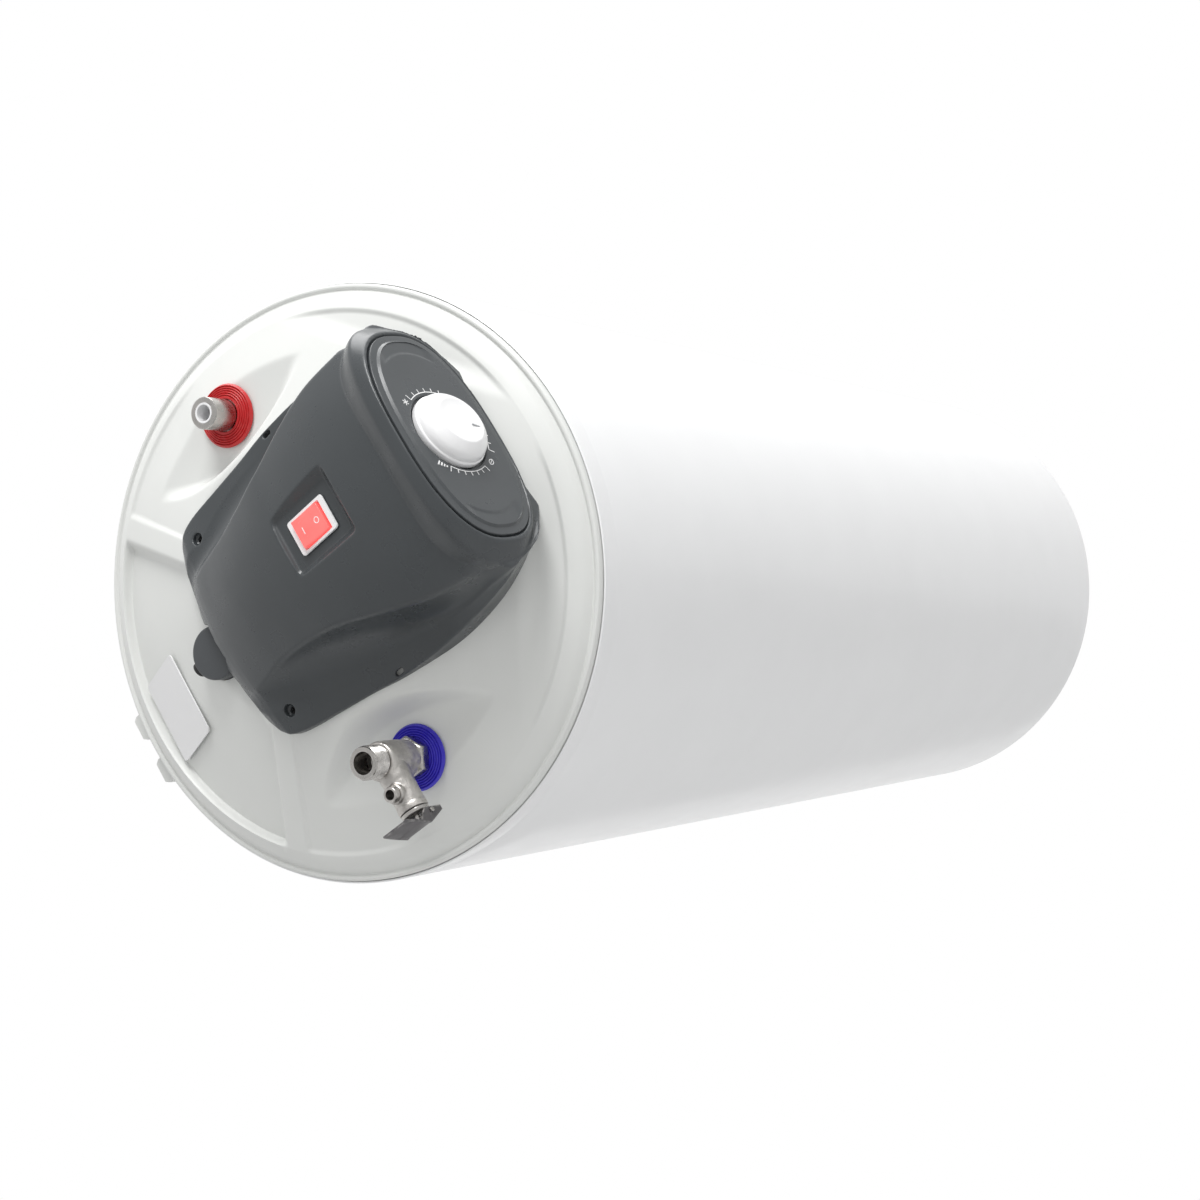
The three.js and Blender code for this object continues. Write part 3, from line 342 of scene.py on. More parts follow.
LOOKS = {
    "white_enamel": surface("white_enamel", (0.84, 0.845, 0.85), 0.32, mottle=0.01, grain=260, bump=0.03,
                            bump_depth=0.00004, coat=0.3, rough_vary=0.04),
    "lid_plastic": surface("lid_plastic", (0.71, 0.72, 0.70), 0.46, mottle=0.014, grain=2600, bump=0.16,
                           bump_depth=0.00006, wear=(0.8, 0.8, 0.79), wear_amount=0.25),
    "cover_plastic": surface("cover_plastic", (0.05, 0.056, 0.06), 0.3, mottle=0.05, grain=3000, bump=0.3,
                             bump_depth=0.00006, wear=(0.12, 0.125, 0.13), wear_amount=0.12),
    "panel_plastic": surface("panel_plastic", (0.058, 0.064, 0.068), 0.3, mottle=0.05, grain=2600, bump=0.3,
                             bump_depth=0.00006, wear=(0.16, 0.165, 0.17), wear_amount=0.25),
    "knob_plastic": surface("knob_plastic", (0.86, 0.86, 0.865), 0.22, mottle=0.01, grain=1500, bump=0.05,
                            bump_depth=0.00005, coat=0.4, rough_vary=0.04),
    "red_lens": surface("red_lens", (0.95, 0.13, 0.12), 0.22, mottle=0.12, mottle_scale=90, grain=900,
                        bump=0.05, bump_depth=0.00006, coat=0.5, emit=0.55),
    "red_collar": surface("red_collar", (0.5, 0.012, 0.015), 0.36, mottle=0.06, grain=1800, bump=0.15,
                          bump_depth=0.00006, wear=(0.62, 0.12, 0.11), wear_amount=0.3),
    "blue_collar": surface("blue_collar", (0.03, 0.018, 0.5), 0.36, mottle=0.06, grain=1800, bump=0.15,
                           bump_depth=0.00006, wear=(0.12, 0.1, 0.66), wear_amount=0.3),
    "gland_plastic": surface("gland_plastic", (0.06, 0.065, 0.07), 0.4, mottle=0.06, grain=2400, bump=0.3,
                             bump_depth=0.00006, wear=(0.2, 0.2, 0.21), wear_amount=0.4),
    "label_film": surface("label_film", (0.78, 0.78, 0.785), 0.34, mottle=0.015, grain=700, bump=0.06,
                          bump_depth=0.00008, coat=0.2),
    "nickel": surface("nickel", (0.5, 0.485, 0.465), 0.27, metal=1.0, mottle=0.1, mottle_scale=60,
                      grain=1500, bump=0.3, bump_depth=0.0001, rough_vary=0.1, wear=(0.82, 0.8, 0.77),
                      wear_amount=0.8),
    "cast_nickel": surface("cast_nickel", (0.55, 0.53, 0.505), 0.42, metal=1.0, mottle=0.22, mottle_scale=90,
                           grain=900, bump=0.75, bump_depth=0.00025, rough_vary=0.14,
                           wear=(0.85, 0.83, 0.8), wear_amount=0.8, dust=(0.3, 0.28, 0.26)),
    "lever_steel": surface("lever_steel", (0.13, 0.125, 0.13), 0.42, metal=0.75, mottle=0.12,
                           mottle_scale=70, grain=1400, bump=0.25, bump_depth=0.0001,
                           wear=(0.42, 0.41, 0.4), wear_amount=0.7),
    "zinc_steel": surface("zinc_steel", (0.52, 0.535, 0.55), 0.36, metal=1.0, mottle=0.16, mottle_scale=55,
                          grain=600, bump=0.12, bump_depth=0.0001, rough_vary=0.12,
                          wear=(0.75, 0.76, 0.77), wear_amount=0.5),
    "tank_enamel": surface("tank_enamel", (0.02, 0.05, 0.11), 0.28, mottle=0.15, mottle_scale=30, grain=500,
                           bump=0.3, bump_depth=0.0001, coat=0.3),
    "foam": surface("foam", (0.72, 0.56, 0.26), 0.95, mottle=0.12, mottle_scale=40, grain=500, bump=0.8,
                    bump_depth=0.0008),
    "rubber": surface("rubber", (0.018, 0.018, 0.019), 0.62, mottle=0.15, grain=1500, bump=0.3,
                      bump_depth=0.0001),
    "copper": surface("copper", (0.72, 0.33, 0.19), 0.34, metal=1.0, mottle=0.12, grain=1200, bump=0.2,
                      bump_depth=0.0001, rough_vary=0.12),
    "magnesium": surface("magnesium", (0.33, 0.33, 0.34), 0.72, metal=0.6, mottle=0.15, grain=700, bump=0.5,
                         bump_depth=0.0003),
    "bakelite": surface("bakelite", (0.022, 0.017, 0.015), 0.4, mottle=0.2, grain=1500, bump=0.25,
                        bump_depth=0.0001, wear=(0.1, 0.08, 0.07)),
    "live_wire_brown": surface("live_wire_brown", (0.1, 0.04, 0.016), 0.4, mottle=0.1, grain=1500, bump=0.1),
    "neutral_wire_blue": surface("neutral_wire_blue", (0.03, 0.06, 0.4), 0.4, mottle=0.1, grain=1500,
                                 bump=0.1),
    "element_wire_red": surface("element_wire_red", (0.4, 0.03, 0.03), 0.4, mottle=0.1, grain=1500,
                                bump=0.1),
    "print_white": surface("print_white", (0.8, 0.8, 0.8), 0.5, mottle=0.06, mottle_scale=400, grain=4000,
                           bump=0.2, bump_depth=0.00003),
    "print_grey": surface("print_grey", (0.42, 0.43, 0.44), 0.5, mottle=0.06, mottle_scale=400, grain=4000,
                          bump=0.2, bump_depth=0.00003),
    # painted shade: a near-black matte that stands in for the shade at the bottom of the cover's screw wells
    "dark_pit": surface("dark_pit", (0.012, 0.012, 0.013), 0.6, mottle=0.2, grain=1500, bump=0.3),
}


def piece(ob, body, nodes, slot, look=None):
    """Gives a mesh its finish, parents it to the empty of the body it rides on and hides the CAD nodes it
    replaces.
    """
    ob.data.materials.clear()
    ob.data.materials.append(LOOKS[look or slot])
    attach(ob, body)
    if nodes:
        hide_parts(*nodes)
    return ob


# ---- Outer casing ----
def casing():
    r, w = CASING_RADIUS, 1.2
    near = [(3, r - w), (0.4, r - w), (0, r - 0.7), (0.5, r), (3, r + 0.15), (6, r)]
    swage = [(14, r), (16, r - 0.35), (18, r - 0.35), (20, r)]
    middle = [(x, r) for x in np.linspace(60, CASING_LENGTH - 60, 13)]
    far = [(CASING_LENGTH - x, radius) for x, radius in reversed(near[:-1])]
    inside = [(CASING_LENGTH - 4, r - w), (CASING_LENGTH / 2, r - w)]
    profile = near + swage + middle + far + inside + [near[0]]
    return lathe("casing_shell", profile, DRUM, 256, 40)


piece(casing(), "heater", ["outer_casing"], "white_enamel")


# ---- Control-end lid ----
def lid_height(forward, up):
    """How far the lid's face stands out of the rim's plane at a point in front of and above the axis."""
    radius = np.hypot(forward, up)
    slope = (PLATEAU_HEIGHT - CONE_FOOT_HEIGHT) / (CONE_FOOT_RADIUS - CONE_TOP_RADIUS)
    height = PLATEAU_HEIGHT - above(slope * (radius - CONE_TOP_RADIUS), 0.4)
    level = np.abs(up)
    fade = 1 - ramp(CONE_FOOT_RADIUS - 4, CONE_FOOT_RADIUS, radius)
    # the wide dish in front of the creases that run from the cover's front corners to the pockets
    beyond = 0.803 * (forward - 124) + 0.596 * (level - 78)
    dish = 4.2 * ramp(0, 15, beyond) * (1 - ramp(150, CONE_FOOT_RADIUS, radius) * 0.55)
    # the band outside each pipe pocket is one shallow step lower than the plateau
    step_line = -62 - 0.9 * (level - 75)
    step = 1.7 * ramp(0, 3.6, forward - step_line) * ramp(66, 76, level) * ramp(-12, -46, forward)
    height = height - (dish + step) * fade
    # the pipe pockets
    pocket_edge = 92.5 + 0.0054 * (forward + 10) ** 2
    inboard = PIPE_HEIGHT - level
    floor = COLLAR_SEAT - 1 + 0.15 * np.sign(inboard) * np.maximum(0, np.abs(inboard) - 24)
    pocket = ramp(0, 12.5, level - pocket_edge) * above(height - floor, 0.25)
    # the lower sector behind the axis
    rear_edge = -66 - 0.95 * np.maximum(0, level - 60)
    rear = 7 * ramp(0, 11, rear_edge - forward)
    return height - np.maximum(pocket, rear) * fade


def control_lid():
    inner_radii = np.concatenate([
        np.linspace(SERVICE_HOLE_RADIUS, CONE_TOP_RADIUS + 4, 14),
        np.arange(97, CONE_FOOT_RADIUS - 4, 1.25),
        np.linspace(CONE_FOOT_RADIUS - 3.9, CONE_FOOT_RADIUS, 6),
    ])
    edge = [(CONE_FOOT_HEIGHT, CONE_FOOT_RADIUS), (7.2, 183.3), (3.4, 186.6), (2.8, 187.6), (4.3, 189.2),
            (3.9, 191.2), (1.5, SKIRT_RADIUS), (-14, SKIRT_RADIUS)]
    rim = rounded(edge, 1.6, 4)[1:]
    turns = 640
    angle = 2 * math.pi * np.arange(turns) / turns
    c, s = np.cos(angle), np.sin(angle)
    rings = [np.stack([-lid_height(r * c, r * s), -r * c, r * s], 1) for r in inner_radii]
    rings += [np.stack([np.full(turns, -h), -r * c, r * s], 1) for h, r in rim]
    wall = 2.4
    back = [np.stack([wall - lid_height(r * c, r * s), -r * c, r * s], 1) for r in inner_radii[::4]]
    back += [np.stack([np.full(turns, wall - h), -(r - 1.6) * c, (r - 1.6) * s], 1)
             for h, r in ((7, 182), (3, 188))]
    back.append(np.stack([np.full(turns, 14.0), -189.5 * c, 189.5 * s], 1))
    everything = rings + back[::-1]
    lid = loft("control_lid", everything + [everything[0]], DRUM, 40, caps=False)
    holes = [lathe("hole", [(-60, 0), (-60, 12.9), (20, 12.9), (20, 0)], shifted(0, 0, z, DRUM), 64)
             for z in (-PIPE_HEIGHT, PIPE_HEIGHT)]
    boss = lathe("hole", [(-60, 0), (-60, GLAND_RADIUS + 0.4), (20, GLAND_RADIUS + 0.4), (20, 0)], GLAND, 64)
    return shade(combine(lid, holes + [boss]), 40)


piece(control_lid(), "heater", ["control_end_lid"], "lid_plastic")


# ---- Far-end lid ----
def far_lid():
    outer = [(-14, SKIRT_RADIUS), (2, SKIRT_RADIUS), (4, 190.4), (3.4, 187), (7, 183.7), (13, 175),
             (22, 140), (23.5, 134), (22.5, 130), (26, 108), (29, 80), (30.4, 60), (29.4, 54), (30.4, 48),
             (31, 20), (31, 0)]
    outer = rounded(outer, 3.5, 5)
    inner = [(28.6, 0), (27.5, 60), (20, 138), (4.6, 182), (-14, 189.4)]
    return lathe("far_lid", outer + inner + [outer[0]], shifted(CASING_LENGTH, 0, 0, DRUM), 192, 40)


piece(far_lid(), "heater", ["far_end_lid"], "lid_plastic")


# ---- Control cover ----
# forward, crest, then across and height: of the ridge, of the scoop's foot and of the edge
STATIONS = np.array([
    (-76, 53, 8, 52, 9.5, 50, 11, 48.5),
    (-68, 60, 37, 55, 52, 52, 60, 49),
    (-58, 66, 43, 60, 61, 55, 76, 51),
    (-46, 72, 44, 65, 62, 55.5, 80.5, 51.5),
    (-23, 82, 44.5, 74, 72, 53, 84.5, 50.5),
    (5, 91, 48.5, 82.5, 79, 52, 88.5, 50),
    (34, 97.5, 56, 88, 82, 51.5, 93, 50),
    (63, 102.5, 67, 88.5, 84, 52, 94.5, 50),
    (100, 105.5, 79, 86, 87, 57, 92, 51),
    (126, 105, 82, 83, 88.5, 64, 90, 56),
], float)
# forward, height, across, from the crest round to the skirt
FRONT_RING = np.array([
    (139.4, 103.5, 0), (139.4, 102, 28), (139.2, 97, 48), (139.6, 88, 72), (142, 75, 85),
    (143.8, 64.5, 89), (147, 56, 85), (155, 46, 73), (155, 15, 50),
], float)


def smooth_table(knots, rows, at):
    """Monotone cubic interpolation of each column, so that nothing overshoots."""
    knots, rows = np.asarray(knots, float), np.asarray(rows, float)
    step = np.diff(knots)[:, None]
    slope = np.diff(rows, axis=0) / step
    tangent = np.zeros_like(rows)
    same = slope[:-1] * slope[1:] > 0
    w1, w2 = 2 * step[1:] + step[:-1], step[1:] + 2 * step[:-1]
    with np.errstate(divide="ignore", invalid="ignore"):
        harmonic = (w1 + w2) / (w1 / slope[:-1] + w2 / slope[1:])
    tangent[1:-1] = np.where(same, harmonic, 0)
    tangent[0], tangent[-1] = slope[0], slope[-1]
    out = []
    for v in at:
        k = min(max(int(np.searchsorted(knots, v, "right")) - 1, 0), len(knots) - 2)
        h = knots[k + 1] - knots[k]
        t = (v - knots[k]) / h
        out.append(rows[k] * (1 + 2 * t) * (1 - t) ** 2 + tangent[k] * h * t * (1 - t) ** 2
                   + rows[k + 1] * t * t * (3 - 2 * t) + tangent[k + 1] * h * t * t * (t - 1))
    return np.array(out)


def bent(a, b, c, steps):
    """Points on a bend from a to c, pulled towards b."""
    t = np.linspace(0, 1, steps)[:, None]
    return (1 - t) ** 2 * np.array(a) + 2 * t * (1 - t) * np.array(b) + t * t * np.array(c)


def cover_half(row, inset):
    """Half a section across the cover, from its crest to its skirt: forward, height, across."""
    forward, crest, ridge_a, ridge_h, foot_a, foot_h, edge_a, edge_h = row
    t = np.linspace(0, 0.96, 22)[:, None]
    barrel = np.hstack([t * ridge_a, crest - (crest - ridge_h) * t * t])
    pull = (0.78 * ridge_a + 0.22 * foot_a, 0.06 * ridge_h + 0.94 * foot_h)
    scoop = bent((ridge_a, ridge_h), pull, (foot_a, foot_h), 22)
    soft_ridge = bent(barrel[-1], (ridge_a, ridge_h), scoop[2], 6)[1:-1]
    flange = np.linspace((foot_a, foot_h), (edge_a - 1, edge_h + 0.1), 8)[1:]
    corner = bent((edge_a - 1, edge_h + 0.1), (edge_a, edge_h), (edge_a, edge_h - 1.4), 5)[1:]
    tuck = 0.0042 * max(0, forward - 60) ** 2  # towards the front the skirt leans in to meet the falling lid
    skirt = np.linspace((edge_a, edge_h - 1.4), (edge_a - tuck, 15), SKIRT_POINTS)[1:]
    flat = np.vstack([barrel, soft_ridge, scoop[2:], flange, corner, skirt])
    flat[:, 0] = np.maximum(flat[:, 0] - inset, 0)
    flat[:, 1] -= inset
    lean = math.tan(DIAL_TILT) * ramp(0, 126, forward)
    front = forward + (69.9 - np.maximum(flat[:, 1], 40)) * lean
    return np.column_stack([front, flat[:, 1], flat[:, 0]])


def front_half(inset, back):
    """The cover's front edge, with as many points as a section has."""
    s = np.concatenate([np.linspace(0, 2.9, 22), np.linspace(2.93, 3.2, 4), np.linspace(3.25, 5, 20),
                        np.linspace(5, 5.9, 8)[1:], np.linspace(5.9, 6.1, 5)[1:],
                        np.linspace(6.1, 8, SKIRT_POINTS)[1:]])
    half = smooth_table(np.arange(9), FRONT_RING, s)
    half[:, 0] -= back
    half[:, 1] -= inset
    half[:, 2] = np.maximum(half[:, 2] - inset, 0)
    return half


def cover_solid(name, stations, inset, back, drop):
    at = np.concatenate([np.linspace(a, b, max(2, int((b - a) / 2.6)))[:-1]
                         for a, b in zip(stations[:-1, 0], stations[1:, 0])] + [[stations[-1, 0]]])
    halves = [cover_half(row, inset) for row in smooth_table(stations[:, 0], stations, at)]
    last, front = halves[-1], front_half(inset, back)
    for t in (0.2, 0.4, 0.6, 0.8, 1.0):
        halves.append(last + (front - last) * t)
    rings = []
    for half in halves:
        other = half[1:] * (1, 1, -1)
        ring = np.vstack([other[::-1], half])
        foot = np.minimum(lid_height(ring[:, 0], ring[:, 2]) + SHADOW_GAP - drop, ring[:, 1])
        # the skirt's points share the height between the edge's corner and the lid
        left, right = ring[:SKIRT_POINTS, 1], ring[-SKIRT_POINTS:, 1]
        left[:] = left[-1] + (foot[0] - left[-1]) * np.linspace(1, 0, SKIRT_POINTS)
        right[:] = right[0] + (foot[-1] - right[0]) * np.linspace(0, 1, SKIRT_POINTS)
        rings.append(np.column_stack([-ring[:, 1], -ring[:, 0], ring[:, 2]]))
    return loft(name, rings, DRUM, 40)


def oval(half_width, half_height, height, squareness=0.8):
    """The dial panel's outline: an oval with fuller corners than an ellipse."""
    a = 2 * math.pi * np.arange(PANEL_POINTS) / PANEL_POINTS
    c, s = np.cos(a), np.sin(a)
    across = PANEL_SHIFT + half_width * np.sign(c) * np.abs(c) ** squareness
    return np.column_stack([across, half_height * np.sign(s) * np.abs(s) ** squareness,
                            np.full(PANEL_POINTS, height)])


def soft_rectangle(width, height, z, x=0, corner=4, steps=6):
    out = []
    for cx, cy, start in ((1, 1, 0), (-1, 1, 1), (-1, -1, 2), (1, -1, 3)):
        for t in np.linspace(0, math.pi / 2, steps):
            a = start * math.pi / 2 + t
            out.append((x + cx * (width / 2 - corner) + corner * math.cos(a),
                        cy * (height / 2 - corner) + corner * math.sin(a), z))
    return out


def dial_seat():
    """The flare behind the dial panel, whose foot stops short of the lid."""
    to_drum = np.array(DRUM.inverted() @ DIAL)
    rings = []
    for half_width, half_height, height in (
            (35, 78, -40), (37, 80, -34), (39.7, 82.6, -27), (42.6, 84.8, -20), (44.3, 85.8, -15.5),
            (45.4, 86, -12), (45.8, 84.5, -10), (45.3, 81.5, -7.2), (44.6, 78.6, -4.4), (44.1, 77, -2.9),
            (43.6, 75.6, -2.2), (43, 74.6, -2.1), (42.4, 73.9, -2.6), (42, 73.5, -3.9)):
        ring = oval(half_width, half_height, height) @ to_drum[:3, :3].T + to_drum[:3, 3]
        ring[:, 0] = np.minimum(ring[:, 0], -lid_height(-ring[:, 1], ring[:, 2]) - SHADOW_GAP)
        rings.append(ring)
    return loft("dial_seat", rings, DRUM)


def control_cover():
    outer = cover_solid("control_cover_shell", STATIONS, 0, 0, 0)
    inner = cover_solid("hollow", STATIONS[1:], 2.6, 7, 8)
    bezel_seat = loft("seat", [oval(44, 75, -22), oval(44, 75, -9), oval(38, 69, -4)], DIAL)
    behind = [soft_rectangle(52, 42, -6, 0, 3), soft_rectangle(52, 42, -2.4, 0, 3),
              soft_rectangle(71, 65.5, 11, 1, 4), soft_rectangle(74, 69, 16, 1, 4)]
    pocket_back = loft("back", behind, SWITCH)
    screws = [shifted(0, SCREW_BACK, z, DRUM) for z in (-SCREW_HEIGHT, SCREW_HEIGHT)]
    bosses = [lathe("boss", [(-54, 0), (-54, 6.4), (-40, 6.4), (-40, 0)], at, 32) for at in screws]
    combine(inner, [bezel_seat, pocket_back] + bosses)
    pocket = loft("pocket", [soft_rectangle(47, 37, 0, 0, 3), soft_rectangle(66, 60, 13, 1, 3.4)], SWITCH)
    switch_hole = block("hole", (0, 0, 0), (29, 21, 30), SWITCH)
    clip = block("clip", (24.5, 7, 4.5), (5, 6, 2), SWITCH)
    panel_hole = loft("hole", [oval(33, 62, -40), oval(33, 62, 10)], DIAL)
    well = [(-70, 0), (-70, 4), (-50.6, 4), (-50.6, 2.3), (-30, 2.3), (-30, 0)]
    wells = [lathe("well", well, at, 40) for at in screws]
    slots = [block("slot", (-50, -33.5, z), (24, 6.4, 3), DRUM) for z in (-89.6, 89.6)]
    gland = lathe("gland", [(-60, 0), (-60, 18.4), (20, 18.4), (20, 0)], GLAND, 64)
    combine(outer, [dial_seat()], "UNION")
    combine(outer, [inner, pocket, switch_hole, clip, panel_hole] + wells + slots + [gland])
    return soften(outer, 0.7, 6, 0.4)


piece(control_cover(), "heater", ["control_cover"], "cover_plastic")


# ---- Dial panel, its print and the knob ----
def panel_relief(points):
    """Shallow crescent steps near both ends of the panel."""
    x, y = points[:, 0] - 0.5, np.abs(points[:, 1])
    arc = y + 0.016 * x * x
    inside = ramp(23, 17, np.abs(x))
    return -0.55 * ramp(57.6, 58.8, arc) * inside


def dial_panel():
    profile = [(41, -3.4), (41, -2.1), (40.7, -1.7), (40.1, -1.6), (38, -1.5), (36.6, -1.3), (35.7, -0.5),
               (35.1, 0)]
    rings = [oval(35, 66.5, -3.6), oval(40.8, 72.3, -3.6)]
    rings += [oval(w, w + 31.6, z) for w, z in profile]
    a = 2 * math.pi * np.arange(PANEL_POINTS) / PANEL_POINTS
    inner_edge = oval(34.8, 66.5, 0)
    well_radius = KNOB_RADIUS + 2.4
    rim = np.column_stack([well_radius * np.cos(a), well_radius * np.sin(a), np.zeros(PANEL_POINTS)])
    for t in np.linspace(0, 1, 44):
        ring = inner_edge * (1 - t) + rim * t
        ring[:, 2] += panel_relief(ring)
        rings.append(ring)
    well = ((27.3, -0.25), (27, -0.8), (27, -2.1), (26.8, -2.4), (15, -2.4), (4.4, -2.4), (4.4, -3.6),
            (20, -3.6))
    for radius, z in well:
        rings.append(np.column_stack([radius * np.cos(a), radius * np.sin(a), np.full(PANEL_POINTS, z)]))
    return loft("dial_panel_plate", rings + [rings[0]], DIAL, 28, caps=False)


piece(dial_panel(), "heater", ["dial_panel"], "cover_plastic", "panel_plastic")


def stroke(x0, y0, x1, y1, width, low=-0.2, high=0.14):
    """A printed stroke as a thin bar."""
    d = np.array([x1 - x0, y1 - y0], float)
    d /= np.linalg.norm(d)
    n = np.array([-d[1], d[0]]) * width / 2
    ends = [np.array([x0, y0]) - n, np.array([x1, y1]) - n, np.array([x1, y1]) + n, np.array([x0, y0]) + n]
    points = [(*p, z) for z in (low, high) for p in ends]
    faces = [(0, 3, 2, 1), (4, 5, 6, 7), (0, 1, 5, 4), (1, 2, 6, 5), (2, 3, 7, 6), (3, 0, 4, 7)]
    return points, faces


def printed(name, strokes, at):
    points, faces = [], []
    for p, f in strokes:
        faces += [tuple(i + len(points) for i in face) for face in f]
        points += p
    return build(name, points, faces, at, 30)


def at_angle(degrees, radius):
    """A place on the panel, its angle counted from the room side towards the top."""
    a = math.radians(degrees)
    return -radius * math.cos(a), radius * math.sin(a)


def dial_print():
    marks = []
    for start, end, ticks in ((55, 210, 15), (243, 303, 7)):
        steps = np.arange(start, end + 0.1, 2.5)
        for a, b in zip(steps[:-1], steps[1:]):
            marks.append(stroke(*at_angle(a, 29), *at_angle(b, 29), 0.55))
        for a in np.linspace(start, end, ticks):
            reach = 33.2 if a in (start, end) else 31.8
            marks.append(stroke(*at_angle(a, 29), *at_angle(a, reach), 0.5))
    cx, cy = at_angle(45, 31.5)
    for k in range(3):
        dx, dy = 2.3 * math.cos(k * math.pi / 3 + 0.3), 2.3 * math.sin(k * math.pi / 3 + 0.3)
        marks.append(stroke(cx - dx, cy - dy, cx + dx, cy + dy, 0.5))
    # a leaf for the saving setting and growing bars for the hottest one
    lx, ly = at_angle(228, 31.3)
    leaf = [at_angle(223.5, 31.3), at_angle(226.5, 33), at_angle(230, 32.8), at_angle(232.5, 31.3),
            at_angle(230, 29.8), at_angle(226.5, 29.7)]
    for p, q in zip(leaf, leaf[1:] + leaf[:1]):
        marks.append(stroke(*p, *q, 0.5))
    marks.append(stroke(*at_angle(223.5, 31.3), *at_angle(231, 31.3), 0.4))
    for k, a in enumerate((308, 311.5, 315, 318.5)):
        marks.append(stroke(*at_angle(a, 30), *at_angle(a, 31.3 + 0.8 * k), 1.0))
    return printed("dial_marks", marks, DIAL)


piece(dial_print(), "heater", [], "knob_plastic", "print_white")


def knob():
    profile = [(-2, 3.2), (-2, 25), (-1.6, KNOB_RADIUS), (1.4, KNOB_RADIUS), (2, 25), (2.3, 24.5), (5, 24),
               (7.5, 22.7), (9.6, 20.4), (11.3, 17.9), (12.1, 16.6), (12.25, 15.6), (11.9, 14.2),
               (11.35, 11.5), (10.9, 7), (10.7, 3), (10.6, 0)]
    outer = rounded(profile, 1.4, 5)
    inner = [(6, 0), (6, 3.2), (-2, 3.2)]
    return lathe_z("thermostat_knob_cap", outer + inner, DIAL, 160, 45)


def knob_pointer():
    c, s = math.cos(math.radians(-24)), math.sin(math.radians(-24))
    return printed("knob_pointer", [stroke(8.5 * c, 8.5 * s, 14.2 * c, 14.2 * s, 0.7, 10.4, 12.02)], DIAL)


piece(knob(), "knob", ["thermostat_knob"], "knob_plastic")
piece(knob_pointer(), "knob", [], "knob_plastic", "print_grey")


# ---- Power switch ----
def switch_bezel():
    outside = [soft_rectangle(28, 20, -17.5, 0, 1), soft_rectangle(28, 20, 0.4, 0, 1),
               soft_rectangle(31.4, 23.4, 0.4, 0, 1.6), soft_rectangle(32, 24, 0.8, 0, 2),
               soft_rectangle(32, 24, 1.4, 0, 2), soft_rectangle(31.2, 23.2, 2, 0, 1.8)]
    inside = [soft_rectangle(24.6, 20.2, 2, 0, 0.8), soft_rectangle(23.9, 19.5, 1.3, 0, 0.6),
              soft_rectangle(23.9, 19.5, -8, 0, 0.6), soft_rectangle(0.5, 0.5, -8, 0, 0.2)]
    return loft("switch_bezel", outside + inside, SWITCH, 30)


piece(switch_bezel(), "heater", ["switch_housing"], "knob_plastic")


def rocker_top(t):
    """The height of the rocker's face, from its raised end, where t is 0, to its other end, where t is 1."""
    return (1 - t) ** 2 * 4.8 + 2 * t * (1 - t) * 2.6 + t * t * 3.2


def rocker():
    top = [(-ROCKER_LENGTH / 2 + ROCKER_LENGTH * t, rocker_top(t)) for t in np.linspace(0, 1, 15)]
    outline = top + [(9.95, -2.6), (0, -6), (-9.95, -1)]
    rings = [[(x, y, z) for x, z in outline] for y in (-9.3, 9.3)]
    return bevelled(loft("rocker_lens", rings, SWITCH), 0.6, 3, 40)


piece(rocker(), "rocker", ["power_rocker"], "red_lens")


def rocker_print():
    """A bar on the raised half and a ring on the other."""
    z = rocker_top((-5.6 + ROCKER_LENGTH / 2) / ROCKER_LENGTH)
    marks = [stroke(-5.6, -2.3, -5.6, 2.3, 0.6, z - 0.2, z + 0.1)]
    z = rocker_top((5.6 + ROCKER_LENGTH / 2) / ROCKER_LENGTH)
    for k in range(16):
        a, b = 2 * math.pi * k / 16, 2 * math.pi * (k + 1) / 16
        marks.append(stroke(5.6 + 1.7 * math.cos(a), 1.9 * math.sin(a), 5.6 + 1.7 * math.cos(b),
                            1.9 * math.sin(b), 0.55, z - 0.2, z + 0.14))
    return printed("rocker_marks", marks, SWITCH)


piece(rocker_print(), "rocker", [], "knob_plastic", "print_white")


# ---- Pipes and collars ----
def pipe(name, at, proud, groove):
    body = [(-proud, PIPE_BORE), (-proud, PIPE_RADIUS), (-proud + groove, PIPE_RADIUS),
            (-proud + groove, PIPE_RADIUS - 0.5), (-proud + groove + 2, PIPE_RADIUS - 0.5),
            (-proud + groove + 2, PIPE_RADIUS - 0.1), (80, PIPE_RADIUS - 0.1), (80, PIPE_BORE)]
    return lathe(name, rounded(body, 0.9, 4) + [body[0]], at, 96, 28)


piece(pipe("hot_pipe_tube", HOT, HOT_PIPE_PROUD, 20), "heater", ["hot_outlet_pipe"], "nickel")
piece(pipe("cold_pipe_tube", COLD, 42, 20), "heater", ["cold_inlet_pipe"], "nickel")
liner = [(-HOT_PIPE_PROUD - 0.05, 5.4), (-HOT_PIPE_PROUD - 0.25, 6.7), (-20, 6.7), (-20, 5.4)]
liner_tube = lathe("hot_pipe_liner", rounded(liner, 0.3, 3) + [liner[0]], HOT, 64, 30)
piece(liner_tube, "heater", [], "knob_plastic")


def collar(name, at):
    rings = 5
    first, last = 12.9, COLLAR_RADIUS - 0.5
    profile = [(4, PIPE_RADIUS + 0.4), (4, 12.3), (-COLLAR_SEAT + 0.2, 12.3),
               (-COLLAR_SEAT + 0.2, COLLAR_RADIUS - 0.3), (-COLLAR_SEAT - 0.6, COLLAR_RADIUS),
               (-COLLAR_SEAT - 1.1, last)]
    for k in range(60):
        t = k / 59
        radius = last + (first - last) * t
        swell = 1.25 * abs(math.sin(math.pi * rings * t)) ** 0.7
        profile.append((-COLLAR_SEAT - 1.1 - 1.9 * t - swell, radius))
    profile += [(-COLLAR_SEAT - 4, 12.6), (-COLLAR_SEAT - 4.2, 11.9), (-COLLAR_SEAT - 4, PIPE_RADIUS + 0.4)]
    return lathe(name, profile + [profile[0]], at, 96, 50)


